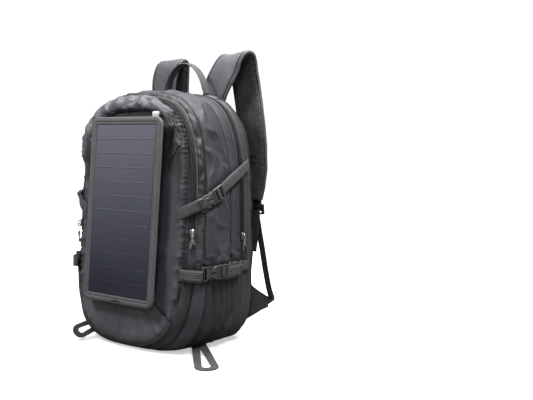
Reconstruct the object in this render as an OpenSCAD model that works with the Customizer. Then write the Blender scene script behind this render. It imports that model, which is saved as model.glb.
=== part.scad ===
/* [Body] */
// Half of the body's width at its widest
half_w = 157; // [140:1:175]
// Height of the body
body_h = 470; // [440:1:500]
// Where the front face lies at the height of the panel's centre
front_y = -84; // [-95:1:-75]
// Where the back face lies
back_y = 88; // [80:1:100]
// Radius of the front edges
front_r = 36; // [25:1:45]
// Radius of the rear edges
rear_r = 22; // [12:1:30]
// Thickness of the padded fabric walls
wall = 3; // [2:0.5:4]
// Forward slope of the front face, in degrees
lean = 5.3; // [3:0.1:7]

/* [Opening] */
// Depth at which the main zipper runs round the body
zip_y = 46; // [40:1:52]
// Height of the seam between the boot and the hinged front section
boot_h = 56; // [45:1:70]
// Clearance between parts that move apart
gap = 0.5; // [0.3:0.1:1]
// Height at which the zippers end on the sides
zip_end = 208; // [206:1:225]

/* [Solar panel] */
// Width of the panel over its fabric border
panel_w = 184; // [170:1:200]
// Length of the panel over its fabric border
panel_l = 342; // [320:1:360]
// Height of the panel's centre
panel_z = 256; // [250:1:262]
// Distance of the panel's face in front of the front face
panel_stand = 26; // [22:1:30]
// Number of cells down the panel
cell_count = 12; // [8:1:14]

/* [Straps] */
// Width of the compression webbing
web_w = 20; // [16:1:25]
// Thickness of the webbing
web_t = 1.8; // [1.2:0.1:2.5]
// Height of the upper buckle
upper_z = 283; // [270:1:300]
// Upward slope of the upper compression strap
upper_pitch = 26; // [15:1:32]
// Height of the lower buckle
lower_z = 150; // [146:1:156]
// Widest part of a shoulder strap
shoulder_w = 68; // [55:1:75]
// Thickness of a shoulder strap
shoulder_t = 10; // [6:1:12]

/* [Hidden] */

FABRIC = [0.27, 0.27, 0.30];
TRIM = [0.17, 0.17, 0.19];
WEB = [0.24, 0.24, 0.26];
PLASTIC = [0.16, 0.16, 0.18];
SILVER = [0.72, 0.72, 0.74];

ring_n = 56;                     // points round one section
mid_z = 205;                     // height of the section's widest level
top_b = body_h - mid_z;
low_b = mid_z + 6;               // the lowest 6 mm are cut off as the flat base
top_power = 3.5;                 // squareness of the top corners
low_power = [3, 4.2];            // squareness of the bottom corners, front and rear
slope = tan(lean);
fold_y = front_y - panel_stand;  // panel face at its centre height

// ---- Body surface -------------------------------------------------------

function clamp01(v) = min(1, max(0, v));
function signed_pow(v, p) = sign(v) * pow(abs(v), p);
function half_height(z) = z > mid_z ? top_b : low_b;
function power_at(u, up) = up ? top_power
    : low_power[0] + (low_power[1] - low_power[0]) * clamp01((u - 0.5) / 1.5);

// Depth and inset of the section at step u, standing d off the surface:
// 0 to 1 is the front edge, 1 to 2 the straight side, 2 to 3 the rear edge.
function depth_at(u, d) =
    u < 1 ? front_y + front_r - (front_r + d) * cos(90 * u)
    : u < 2 ? (front_y + front_r) * (2 - u) + (back_y - rear_r) * (u - 1)
    : back_y - rear_r + (rear_r + d) * sin(90 * (u - 2));
function inset_at(u, d) =
    u < 1 ? front_r - (front_r + d) * sin(90 * u)
    : u < 2 ? -d
    : rear_r - (rear_r + d) * cos(90 * (u - 2));
function step_at(y) =
    y < front_y + front_r ? acos(clamp01((front_y + front_r - y) / front_r)) / 90
    : 1 + (y - front_y - front_r) / (back_y - rear_r - front_y - front_r);

// The front leans: its top is further back than its foot.
function leaned(y, z) = y + slope * (z - panel_z) * clamp01(y / front_y);

// A point of the section at step u and turn t, d off the surface
function skin(u, t, d = 0, floor_z = 0) =
    let (e = inset_at(u, d), up = sin(t) >= 0,
        b = (up ? top_b : low_b) - e, p = 2 / power_at(u, up),
        x = (half_w - e) * signed_pow(cos(t), p),
        z = max(floor_z, mid_z + b * signed_pow(sin(t), p)))
    [x, leaned(depth_at(u, d), z), z];

// A point of the right side at step u and height z, d off the surface
function flank(u, z, d = 0) =
    let (e = inset_at(u, d), b = half_height(z) - e, p = power_at(u, z > mid_z),
        x = (half_w - e) * pow(max(0, 1 - pow(min(1, abs(z - mid_z) / b), p)), 1 / p))
    [x, leaned(depth_at(u, d), z), z];
function flank_x(y, z) = flank(step_at(y), z)[0];
// The step reached by wrapping a straight length round the front edge
function step_wrapped(y) = let (over = front_y + front_r - y)
    over > 0 ? max(0, 1 - over / (front_r * PI / 2)) : step_at(y);

// ---- Meshes -------------------------------------------------------------

// Closes a list of rings into a solid. Each ring has the same number of points,
// anticlockwise where the rings come towards the viewer.
module loft(rings) {
    n = len(rings[0]);
    m = len(rings);
    points = [for (ring = rings) each ring];
    sides = [for (i = [0:m - 2], j = [0:n - 1])
        [i * n + j, i * n + (j + 1) % n, (i + 1) * n + (j + 1) % n, (i + 1) * n + j]];
    caps = [[for (j = [0:n - 1]) j], [for (j = [n - 1:-1:0]) (m - 1) * n + j]];
    polyhedron(points, concat([for (f = sides) [f[0], f[2], f[1]]],
        [for (f = sides) [f[0], f[3], f[2]]], caps));
}

// The body between two steps, d off the surface
module block(steps, d = 0, floor_z = 0)
    loft([for (u = steps) [for (j = [ring_n - 1:-1:0])
        skin(u, 360 * (j + 0.5) / ring_n, d, floor_z)]]);

// The turns of a ring's points from t1 to t2, with both ends
function ring_turns(t1, t2) = concat([t1], [for (j = [0:ring_n - 1])
    let (t = 360 * (j + 0.5) / ring_n) if (t > t1 + 1 && t < t2 - 1) t], [t2]);

// A strip over the body, at rising steps, from turn t1 to turn t2
module arch_strip(strip_steps, d1, d2, t1, t2) {
    last = len(strip_steps) - 1;
    loft([for (t = ring_turns(t1, t2))
        concat([for (i = [last:-1:0]) skin(strip_steps[i], t, d1)],
            [for (i = [0:last]) skin(strip_steps[i], t, d2)])]);
}

function unit(v) = v / norm(v);
function along(path, i) =
    unit(path[min(i + 1, len(path) - 1)] - path[max(i - 1, 0)]);

// A flat band along a path; across gives the direction of its width
module ribbon(path, widths, thick, across)
    loft([for (i = [0:len(path) - 1]) let (t = along(path, i),
        side = unit(across - t * (across * t)), out = cross(t, side),
        w = (is_list(widths) ? widths[i] : widths) / 2, h = thick / 2)
        [path[i] - side * w - out * h, path[i] + side * w - out * h,
         path[i] + side * w + out * h, path[i] - side * w + out * h]]);

// Both sides of a part that is drawn on the right
module pair() {
    children();
    mirror([1, 0, 0]) children();
}
module on(side) {
    if (side < 0) mirror([1, 0, 0]) children();
    else children();
}

// Puts local X towards the rear, Y up and Z outward, on the right side. A
// positive pitch lifts the rear end and a positive yaw turns it outward.
module at_side(y, z, out, pitch = 0, yaw = 0)
    translate([flank_x(y, z) + out, y, z]) rotate([0, 0, -yaw]) rotate([pitch, 0, 0])
        rotate([90, 0, 90]) children();
// The same on the rounded edge at step u, with Z square to the surface
module at_edge(u, z, out) translate(flank(u, z, out)) rotate([0, 0, 90 * (min(u, 1) - 1)])
    rotate([90, 0, 90]) children();

// ---- Body of the pack ---------------------------------------------------

zip_u = step_at(zip_y);
seam_u = step_at(zip_y - gap);
front_steps = [0, 0.25, 0.5, 0.75, 1, seam_u];
rear_steps = [zip_u, 2, 2.3, 2.6, 2.85, 3];

module main_shell() color(FABRIC) difference() {
    block(rear_steps);
    translate([0, -0.01, 0]) block([zip_u, 2, 2.3, 2.6, 2.8], -wall, wall);
    translate([0, -1, 0]) block([zip_u, zip_u + 0.02], -wall, wall);
}

module base_boot() color(TRIM) difference() {
    block([for (u = [0, 0.25, 0.5, 0.75, 1, 1.5]) u < 1.4 ? u : zip_u]);
    translate([0, 0.5, 0]) block([0, 0.25, 0.5, 0.75, 1, zip_u + 0.01], -wall, wall);
    translate([-200, -200, boot_h]) cube([400, 400, 500]);
}

module front_shell() color(FABRIC) difference() {
    block(front_steps);
    translate([0, 0.5, 0]) block(front_steps, -wall, wall);
    translate([-200, -200, -10]) cube([400, 400, boot_h + gap + 10]);
}

// Plate across the body at one depth, cut to the section less a margin
module bulkhead(y, thick, margin, low, high) intersection() {
    block([1, step_at(60)], -margin, wall);
    translate([-200, y, low]) cube([400, thick, high - low]);
}
module divider() color(TRIM) bulkhead(-24, 2, wall + 0.5, boot_h + 4, body_h - 12);

module back_board() color([0.1, 0.1, 0.1])
    translate([0, back_y - wall - 6, 225]) rotate([-90, 0, 0])
        linear_extrude(4) offset(30) square([190, 330], center = true);

module laptop_sleeve() color(TRIM) {
    sleeve_w = 230;
    sleeve_z = 24;
    sleeve_h = 228;
    translate([-sleeve_w / 2, 62, sleeve_z]) cube([sleeve_w, 2, sleeve_h]);
    pair() translate([sleeve_w / 2 - 3, 64, sleeve_z]) cube([3, 14, sleeve_h]);
    translate([-sleeve_w / 2 + 3, 64, sleeve_z]) cube([sleeve_w - 6, 14, 3]);
}

module pad(w, h, thick) rotate([-90, 0, 0]) linear_extrude(thick)
    offset(18, $fn = 24) square([w - 36, h - 36], center = true);
module back_pads() color(TRIM) {
    pair() translate([58, back_y, 265]) pad(84, 250, 9);
    translate([0, back_y, 80]) pad(210, 78, 9);
}

zip_low_turn = asin(pow((zip_end - mid_z + 4) / top_b, top_power / 2));
module rear_zipper_tape() color(TRIM)
    arch_strip([zip_u + 0.005, step_at(zip_y + 8)], 0.1, 1.3, zip_low_turn, 180 - zip_low_turn);
module hinged_zipper_tape() color(TRIM)
    arch_strip([step_at(zip_y - 8.5), seam_u], 0.1, 1.3, zip_low_turn, 180 - zip_low_turn);
module front_zipper_tape() color(TRIM)
    arch_strip([0.4, 0.5, 0.58], 0.1, 1.4, zip_low_turn, 180 - zip_low_turn);

module gathered_hood() color(FABRIC)
    arch_strip([0.14, 0.25, 0.36], 0.3, 8, 33, 147);

// The curved lower panel of the front, flat on the front face
module on_front(out) translate([0, front_y - out, panel_z]) rotate([-lean, 0, 0])
    rotate([90, 0, 0]) children();
module front_shield() color(FABRIC) on_front(0.1) linear_extrude(1.4)
    difference() {
        translate([0, -105]) offset(45, $fn = 40) square([90, 80], center = true);
        translate([-150, -400]) square([300, 400 + boot_h + 4 - panel_z]);
    }
module loop_tab() color("white") on_front(1) translate([60, 174, 0]) linear_extrude(1.2)
    difference() {
        square([16, 10], center = true);
        square([10, 4.5], center = true);
    }

// ---- Side pockets -------------------------------------------------------

pocket_low = boot_h + 3;
pocket_top = 150;
pocket_front = step_at(front_y + 8);
pocket_rear = step_at(zip_y - 3);
// How far the pocket stands off the side: a along its width, b up its height
function pocket_swell(a, b) =
    0.2 + 9.5 * pow(sin(180 * a), 0.6) * pow(sin(90 * min(1, b * 1.6)), 0.7)
        * (1 - 0.42 * b);
function pocket_at(a, b, d) =
    flank(pocket_front + (pocket_rear - pocket_front) * a,
        pocket_low + (pocket_top - pocket_low) * b, pocket_swell(a, b) + d);
module side_pocket(n = 14, m = 8) color(FABRIC)
    loft([for (i = [0:n]) concat([for (j = [0:m]) pocket_at(i / n, j / m, 0)],
        [for (j = [m:-1:0]) pocket_at(i / n, j / m, 1.6)])]);

// ---- Shoulder straps ----------------------------------------------------

// Each point: distance from the middle plane, depth, height, share of the width
shoulder_right = [[46, 95, 462, 0.85], [55, 96, 488, 0.95], [70, 99, 515, 1],
    [84, 105, 538, 1], [91, 116, 547, 1], [91, 128, 540, 1], [90, 137, 514, 1],
    [95, 142, 470, 1], [101, 144, 420, 1], [106, 145, 370, 1], [109, 146, 320, 0.9],
    [111, 146, 290, 0.7], [113, 145, 264, 0.45]];
shoulder_left = [[84, 95, 455, 0.85], [91, 96, 482, 0.95], [90, 99, 512, 1],
    [84, 105, 535, 1], [83, 116, 543, 1], [87, 128, 536, 1], [94, 137, 510, 1],
    [99, 142, 470, 1], [101, 144, 420, 1], [105, 145, 370, 1], [109, 146, 320, 0.9],
    [111, 146, 290, 0.7], [113, 145, 264, 0.45]];
module shoulder_strap(path) color(FABRIC)
    ribbon([for (p = path) [p[0], p[1], p[2]]], [for (p = path) p[3] * shoulder_w],
        shoulder_t, [1, 0, 0]);

lock_at = [114, 146, 246];
module ladder_lock() color(PLASTIC) translate(lock_at) rotate([0, -4, 0]) difference() {
    cube([34, 5, 20], center = true);
    for (z = [-5, 4]) translate([0, 0, z]) cube([27, 6, 3.2], center = true);
}
adjuster_path = [[114.5, 146, 233], [118, 148, 205], [124, 150, 170], [131, 151, 130],
    [140, 150, 95], [149, 147, 74], [153, 141, 65]];
module adjuster_webbing() color(WEB) {
    ribbon(adjuster_path, 24, web_t, [1, -0.5, 0.1]);
    ribbon([[114, 140, 233], [113, 138, 200], [108, 137, 168]], 24, web_t, [1, 0, 0]);
}
// A triangle of fabric from the rear edge of the body to the adjuster
module corner_wing() color(FABRIC) loft([for (q = [[136, back_y + 1, 40, 112],
        [144, back_y + 25, 52, 88], [152, 135, 58, 74]])
    [[q[0], q[1], q[2]], [q[0], q[1] + 2.5, q[2]], [q[0], q[1] + 2.5, q[3]],
     [q[0], q[1], q[3]]]]);

// ---- Lash loops and handle ----------------------------------------------

// A flat loop that points along X, with its hole from hole_at to the tip
module teardrop(length, root_w, tip_w, band, hole_at) linear_extrude(2) difference() {
    hull() {
        translate([0, -root_w / 2]) square([2, root_w]);
        translate([length - tip_w / 2, 0]) circle(d = tip_w, $fn = 32);
    }
    hull() {
        translate([hole_at, -1]) square([2, 2]);
        translate([length - tip_w / 2 - 2, 0]) circle(d = tip_w - band, $fn = 32);
    }
}
module off_the_body() difference() {
    children();
    block([0, 0.25, 0.5, 0.75, 1, zip_u], 0.05);
}
module lash_loop_right() color(WEB) off_the_body() translate([100, -14, 6.2])
    rotate([0, 2, -42]) teardrop(170, 26, 42, 26, 50);
module lash_loop_left() color(WEB) off_the_body() translate([-104, -48, 34])
    rotate([0, 14, -98]) rotate([-50, 0, 0]) teardrop(84, 22, 30, 18, 22);

handle_y = 66;
handle_z = 474;
handle_half = 53;
handle_rise = 59;
handle_path = [for (a = [0:15:180])
    [handle_half * cos(a) * (1 - 0.12 * sin(a)), handle_y, handle_z + handle_rise * sin(a)]];
// The band is narrow where it is sewn in, so that it can tip over
handle_widths = [for (a = [0:15:180]) min(22, 10 + 60 * sin(a))];
module grab_handle() color(WEB) ribbon(handle_path, handle_widths, 3, [0, 1, 0]);

// ---- Compression straps -------------------------------------------------

upper_y = -40;
lower_y = -40;
buckle_yaw = 8;
socket_l = 34;
clip_l = 26;
clip_w = 26;
clip_t = 10;
prong_l = 22;
upper_out = 2.6;
lower_out = 9.8;

// A stretch of webbing on the flank, from local distance a to b of the buckle
module flank_webbing(y0, z0, pitch, outs, a, b, n = 8)
    loft([for (i = [0:n]) let (s = a + (b - a) * i / n, out = outs[0] + (outs[1] - outs[0]) * i / n)
        [for (k = [[-1, 0], [1, 0], [1, 1], [-1, 1]])
            let (y = y0 + s * cos(pitch) - k[0] * web_w / 2 * sin(pitch),
                z = z0 + s * sin(pitch) + k[0] * web_w / 2 * cos(pitch))
            flank(step_wrapped(y), z, out + k[1] * web_t)]]);

bar_slot = [4, 21];
module buckle_socket() color(PLASTIC) difference() {
    translate([-socket_l, -clip_w / 2, 0]) cube([socket_l, clip_w, clip_t]);
    translate([-prong_l - 2, -clip_w / 2 + 4, 2]) cube([prong_l + 3, clip_w - 8, clip_t - 4]);
    for (s = [-1, 1]) translate([-prong_l, s * 12.5 - 3, -1])
        cube([prong_l - 8, 6, clip_t + 2]);
    translate([-socket_l + 4, -bar_slot[1] / 2, -1]) cube([bar_slot[0], bar_slot[1], clip_t + 2]);
}
module clip() color(PLASTIC) {
    difference() {
        translate([gap, -clip_w / 2, 0]) cube([clip_l, clip_w, clip_t]);
        for (x = [8, 17]) translate([x, -bar_slot[1] / 2, -1])
            cube([bar_slot[0], bar_slot[1], clip_t + 2]);
    }
    for (s = [-1, 0, 1]) let (start = s == 0 ? -14 : -prong_l)
        translate([start, s * 6.6 - 1.75, 3]) cube([gap + 1 - start, 3.5, clip_t - 6]);
    for (s = [-1, 1]) translate([-prong_l, s * 7.4 - 1.2, 3]) cube([12, 2.4, clip_t - 6]);
}
module upper_place() at_side(upper_y, upper_z, upper_out, upper_pitch, buckle_yaw) children();
module lower_place() at_side(lower_y, lower_z, lower_out, 0, buckle_yaw) children();

module upper_buckle_sockets() pair() upper_place() buckle_socket();
module lower_buckle_sockets() pair() lower_place() buckle_socket();
module upper_front_webbing() color(WEB) pair()
    flank_webbing(upper_y, upper_z, upper_pitch, [0.5, 7], -76, -socket_l - 0.5);
module lower_front_webbing() color(WEB) pair()
    flank_webbing(lower_y, lower_z, 0, [8.5, 12], -62, -socket_l - 0.5, 4);
module upper_rear_webbing() color(WEB) pair()
    flank_webbing(upper_y, upper_z, upper_pitch, [8, 1.8], clip_l + 1.2, 114);
module lower_rear_webbing() color(WEB) pair()
    flank_webbing(lower_y, lower_z, 0, [14.5, 1.8], clip_l + 2.6, 100);

// ---- Zipper sliders and pulls -------------------------------------------

front_slide_u = 0.49;
front_slide_z = 222;
main_slide_z = 206;
slider_out = 1.8;
pin_at = [-4.4, 5.6];            // up the slider, and out from its underside
module slider() color(SILVER) {
    translate([-4.5, -7, 0]) cube([9, 14, 3]);
    for (s = [-1, 1]) translate([s * 2.4 - 0.6, pin_at[0] - 2.2, 2.9]) cube([1.2, 4.4, 4.5]);
    translate([-2.4, pin_at[0], pin_at[1]]) rotate([0, 90, 0]) cylinder(h = 4.8, r = 0.9, $fn = 24);
}
module pull(length) color(TRIM) translate([0, pin_at[0], pin_at[1]]) difference() {
    union() {
        translate([-1.2, 0, 0]) rotate([0, 90, 0]) cylinder(h = 2.4, r = 2.2, $fn = 32);
        translate([-1.2, -8, -0.9]) cube([2.4, 7, 1.8]);
        translate([-3.2, -length, -0.9]) cube([6.4, length - 7, 1.8]);
    }
    translate([-2, 0, 0]) rotate([0, 90, 0]) cylinder(h = 4, r = 1.2, $fn = 32);
}
module front_slide_place(d = slider_out) at_edge(front_slide_u, front_slide_z, d) children();
module main_slide_place(d = slider_out) at_side(zip_y, main_slide_z, d) children();

// ---- Solar panel --------------------------------------------------------

// Local frame of the panel: X across, Y up its length, Z out of its face
module on_panel(out) translate([0, fold_y, panel_z]) rotate([-lean, 0, 0])
    rotate([90, 0, 0]) translate([0, 0, out]) children();
module rounded(w, l, r) offset(r, $fn = 32) square([w - 2 * r, l - 2 * r], center = true);
border = 14;
cell_w = panel_w - 2 * border;
cell_l = (panel_l - 2 * border - 2) / cell_count;

module panel_border() color(WEB) {
    on_panel(-3) linear_extrude(3) difference() {
        rounded(panel_w, panel_l, 15);
        rounded(cell_w + 1, panel_l - 2 * border, 5);
    }
    on_panel(0) linear_extrude(1.6) difference() {
        rounded(panel_w - 4, panel_l - 4, 13);
        rounded(panel_w - 11, panel_l - 11, 10);
    }
}
module cell_sheet() color([0.2, 0.2, 0.26]) on_panel(-3) linear_extrude(1.4)
    rounded(cell_w + 0.4, panel_l - 2 * border - 0.6, 4.7);
module solar_cells() color([0.12, 0.12, 0.2])
    for (i = [0:cell_count - 1]) on_panel(-1.5)
        translate([-cell_w / 2 + 1, -panel_l / 2 + border + 1 + i * cell_l + 0.5, 0])
            cube([cell_w - 2, cell_l - 1, 0.9]);
module panel_board() color(TRIM) on_panel(-6.2) linear_extrude(3.1)
    rounded(panel_w - 1, panel_l - 1, 14);

pouch_w = 150;
pouch_l = 250;
pouch_c = -18;
module pouch_wall() color(FABRIC) on_panel(-15) translate([0, pouch_c, 0])
    linear_extrude(8.7) difference() {
        rounded(pouch_w, pouch_l, 14);
        rounded(pouch_w - 8, pouch_l - 8, 11);
    }
usb_y = pouch_c + pouch_l / 2 - 26;
module usb_box() color(PLASTIC) on_panel(-14.3) translate([0, usb_y, 0]) difference() {
    translate([-24, -15, 0]) cube([48, 30, 8]);
    translate([-8.2, -20, 1.2]) cube([16.4, 14, 6]);
}
module usb_port() color(SILVER) on_panel(-13) translate([0, usb_y, 0]) difference() {
    translate([-8, -15, 0]) cube([16, 8.8, 5.8]);
    translate([-6.8, -16, 0.5]) cube([13.6, 9, 4.8]);
}
module hook_strips() color([0.08, 0.08, 0.08]) {
    on_panel(-7.6) translate([-40, panel_l / 2 - 28, 0]) cube([80, 14, 1.3]);
    on_panel(-7.6) translate([-22, -panel_l / 2 + 8, 0]) cube([44, 12, 1.3]);
}
module panel_anchor() color(WEB)
    on_front(0.1) translate([-60, panel_l / 2 - 16, 0]) cube([120, 12, 17.8]);

module mesh_flap() color([0.75, 0.75, 0.78]) on_panel(-17) translate([0, pouch_c, 0])
    linear_extrude(1.2) rounded(pouch_w - 14, pouch_l - 14, 10);
module flap_binding() color(WEB) on_panel(-17.4) translate([0, pouch_c, 0])
    linear_extrude(2) difference() {
        rounded(pouch_w, pouch_l, 14);
        rounded(pouch_w - 14, pouch_l - 14, 10);
    }

main_shell();
base_boot();
back_board();
back_pads();
laptop_sleeve();
rear_zipper_tape();
on(-1) shoulder_strap(shoulder_left);  // shoulder_strap_left
on(1) shoulder_strap(shoulder_right);  // shoulder_strap_right
on(-1) ladder_lock();  // ladder_lock_left
on(1) ladder_lock();  // ladder_lock_right
on(-1) adjuster_webbing();  // adjuster_webbing_left
on(1) adjuster_webbing();  // adjuster_webbing_right
on(-1) corner_wing();  // corner_wing_left
on(1) corner_wing();  // corner_wing_right
lash_loop_left();
lash_loop_right();
grab_handle();
front_shell();
divider();
front_shield();
gathered_hood();
front_zipper_tape();
hinged_zipper_tape();
on(-1) side_pocket();  // side_pocket_left
on(1) side_pocket();  // side_pocket_right
upper_front_webbing();
lower_front_webbing();
upper_rear_webbing();
lower_rear_webbing();
upper_buckle_sockets();
lower_buckle_sockets();
on(-1) upper_place() clip();  // upper_clip_left
on(1) upper_place() clip();  // upper_clip_right
on(-1) lower_place() clip();  // lower_clip_left
on(1) lower_place() clip();  // lower_clip_right
on(-1) front_slide_place() slider();  // front_slider_left
on(1) front_slide_place() slider();  // front_slider_right
on(-1) main_slide_place() slider();  // main_slider_left
on(1) main_slide_place() slider();  // main_slider_right
on(-1) front_slide_place() pull(34);  // front_pull_left
on(1) front_slide_place() pull(34);  // front_pull_right
on(-1) main_slide_place() pull(38);  // main_pull_left
on(1) main_slide_place() pull(38);  // main_pull_right
panel_border();
cell_sheet();
solar_cells();
panel_board();
pouch_wall();
usb_box();
usb_port();
hook_strips();
panel_anchor();
loop_tab();
mesh_flap();
flap_binding();
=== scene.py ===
"""The looks of a solar backpack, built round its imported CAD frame.

Everything is in the frame of the CAD model: metres, +Z up, the front face towards -Y. The body's surface is
worked out in millimetres, as in the CAD source, and turned into metres where a mesh is made.
"""

import math

import bmesh
import bpy
import numpy as np
from mathutils import Matrix, Vector, noise


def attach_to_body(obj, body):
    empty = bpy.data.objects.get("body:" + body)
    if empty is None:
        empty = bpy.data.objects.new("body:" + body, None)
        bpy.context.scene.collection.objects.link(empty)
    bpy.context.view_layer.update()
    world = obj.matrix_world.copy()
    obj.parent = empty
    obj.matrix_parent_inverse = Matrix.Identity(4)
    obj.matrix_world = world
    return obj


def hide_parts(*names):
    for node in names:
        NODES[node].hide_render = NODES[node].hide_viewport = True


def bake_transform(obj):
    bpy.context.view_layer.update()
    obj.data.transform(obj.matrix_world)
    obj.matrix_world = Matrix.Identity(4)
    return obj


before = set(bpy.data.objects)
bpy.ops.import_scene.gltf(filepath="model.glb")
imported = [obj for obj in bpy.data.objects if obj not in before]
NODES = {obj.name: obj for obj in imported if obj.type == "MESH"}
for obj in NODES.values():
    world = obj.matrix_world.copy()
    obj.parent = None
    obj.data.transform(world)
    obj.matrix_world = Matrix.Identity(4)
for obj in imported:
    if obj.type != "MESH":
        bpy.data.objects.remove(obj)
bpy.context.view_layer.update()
MM = 0.001

# ---- Driving sizes, as in the CAD source ---------------------------------

HALF_W, BODY_H, MID_Z = 157, 470, 205
FRONT_Y, BACK_Y = -84, 88
FRONT_R, REAR_R = 36, 22
TOP_B, LOW_B = BODY_H - MID_Z, MID_Z + 6
SLOPE = math.tan(math.radians(5.3))
ZIP_Y, ZIP_END = 46, 208
PANEL_W, PANEL_L, PANEL_Z = 184, 342, 256
BORDER, CELL_COUNT = 14, 12
FOLD_Y = -110
LEAN = math.radians(5.3)
UPPER_AT, UPPER_PITCH = (-40, 283), math.radians(26)
LOWER_AT = (-40, 150)
WEB_W, WEB_T = 20, 1.8

# Steps of the seams, from the front edge at 0 to the straight side at 1 and the rear edge at 2
GATHER_LOW, GATHER_TOP = 0.24, 0.36
TAPE_STEPS = (0.40, 0.58)
STRIP_STEP = 0.89
GARAGE_STEP = 1.56


def clamp01(v):
    return min(1.0, max(0.0, v))


def ease(v):
    v = clamp01(v)
    return v * v * (3 - 2 * v)


def bump(distance, width):
    return math.exp(-((distance / width) ** 2))


def steps(a, b, n):
    return [a + (b - a) * i / (n - 1) for i in range(n)]


def signed_pow(v, p):
    return math.copysign(abs(v) ** p, v)


# ---- Body surface --------------------------------------------------------


def depth_at(u, out):
    if u < 1:
        return FRONT_Y + FRONT_R - (FRONT_R + out) * math.cos(math.pi / 2 * u)
    if u < 2:
        return (FRONT_Y + FRONT_R) * (2 - u) + (BACK_Y - REAR_R) * (u - 1)
    return BACK_Y - REAR_R + (REAR_R + out) * math.sin(math.pi / 2 * (u - 2))


def inset_at(u, out):
    if u < 1:
        return FRONT_R - (FRONT_R + out) * math.sin(math.pi / 2 * u)
    if u < 2:
        return -out
    return REAR_R - (REAR_R + out) * math.cos(math.pi / 2 * (u - 2))


def step_at(y):
    if y < FRONT_Y + FRONT_R:
        return math.acos(clamp01((FRONT_Y + FRONT_R - y) / FRONT_R)) * 2 / math.pi
    return 1 + (y - FRONT_Y - FRONT_R) / (BACK_Y - REAR_R - FRONT_Y - FRONT_R)


def leaned(y, z):
    return y + SLOPE * (z - PANEL_Z) * clamp01(y / FRONT_Y)


def power_at(u, up):
    return 3.5 if up else 3 + 1.2 * clamp01((u - 0.5) / 1.5)


def body_point(u, turn, out=0.0):
    """A point of the plain body. Below step 0 it runs over the front face to its middle at -1, and past
    step 3 over the back face to its middle at 4. The turn goes from 0 at the right to 90 at the top."""
    share = 1 + min(u, 0) - max(u - 3, 0)
    edge = min(3, max(0, u))
    inset = inset_at(edge, out if 0 <= u <= 3 else 0)
    c, s = math.cos(math.radians(turn)), math.sin(math.radians(turn))
    p = 2 / power_at(edge, s >= 0)
    x = share * (HALF_W - inset) * signed_pow(c, p)
    z = max(0, MID_Z + share * ((TOP_B if s >= 0 else LOW_B) - inset) * signed_pow(s, p))
    return Vector((x, leaned(depth_at(edge, out), z), z))


def turn_at(u, z):
    """The turn at which the right side is at height z."""
    b = (TOP_B if z > MID_Z else LOW_B) - inset_at(min(3, max(0, u)), 0)
    s = signed_pow(min(1, abs(z - MID_Z) / b), power_at(u, z > MID_Z) / 2)
    return math.degrees(math.asin(s if z > MID_Z else -s))


def place_on_front(x, z):
    """The step and turn of the front's point at x and z."""
    def overshoot(u):
        inset = inset_at(max(u, 0), 0)
        b = (TOP_B if z > MID_Z else LOW_B) - inset
        p = power_at(max(u, 0), z > MID_Z)
        return (abs(x) / (HALF_W - inset)) ** p + (abs(z - MID_Z) / b) ** p, p, inset, b

    total, p, inset, b = overshoot(0)
    u = total ** (1 / p) - 1
    if u > 0:
        low, high = 0.0, 1.0
        for _ in range(24):
            u = (low + high) / 2
            total, p, inset, b = overshoot(u)
            low, high = (u, high) if total > 1 else (low, u)
        share = 1
    else:
        share = u + 1
    c = signed_pow(abs(x) / (share * (HALF_W - inset)), p / 2)
    s = signed_pow(abs(z - MID_Z) / (share * b), p / 2)
    turn = math.degrees(math.atan2(s if z > MID_Z else -s, math.copysign(c, x)))
    return u, turn


def gather_step(z):
    return GATHER_LOW + (GATHER_TOP - GATHER_LOW) * ease((z - 300) / 120)


def crumple(p, size, seed=0.0):
    """Smooth noise from -1 to 1 with lumps of about that size in millimetres."""
    q = Vector(p) / size
    return noise.noise(q + Vector((seed, 1.7 * seed, -seed)))


def creases(p, size, seed=0.0):
    """Sharp folds between soft valleys, 0 to 1."""
    return (1 - min(1, abs(crumple(p, size, seed)) * 2.2)) ** 2


def strap_press(y, z):
    """How much the upper compression strap holds the fabric down, 0 to 1."""
    dy, dz = y - UPPER_AT[0], z - UPPER_AT[1]
    off = -dy * math.sin(UPPER_PITCH) + dz * math.cos(UPPER_PITCH)
    return bump(off, 15)


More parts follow.
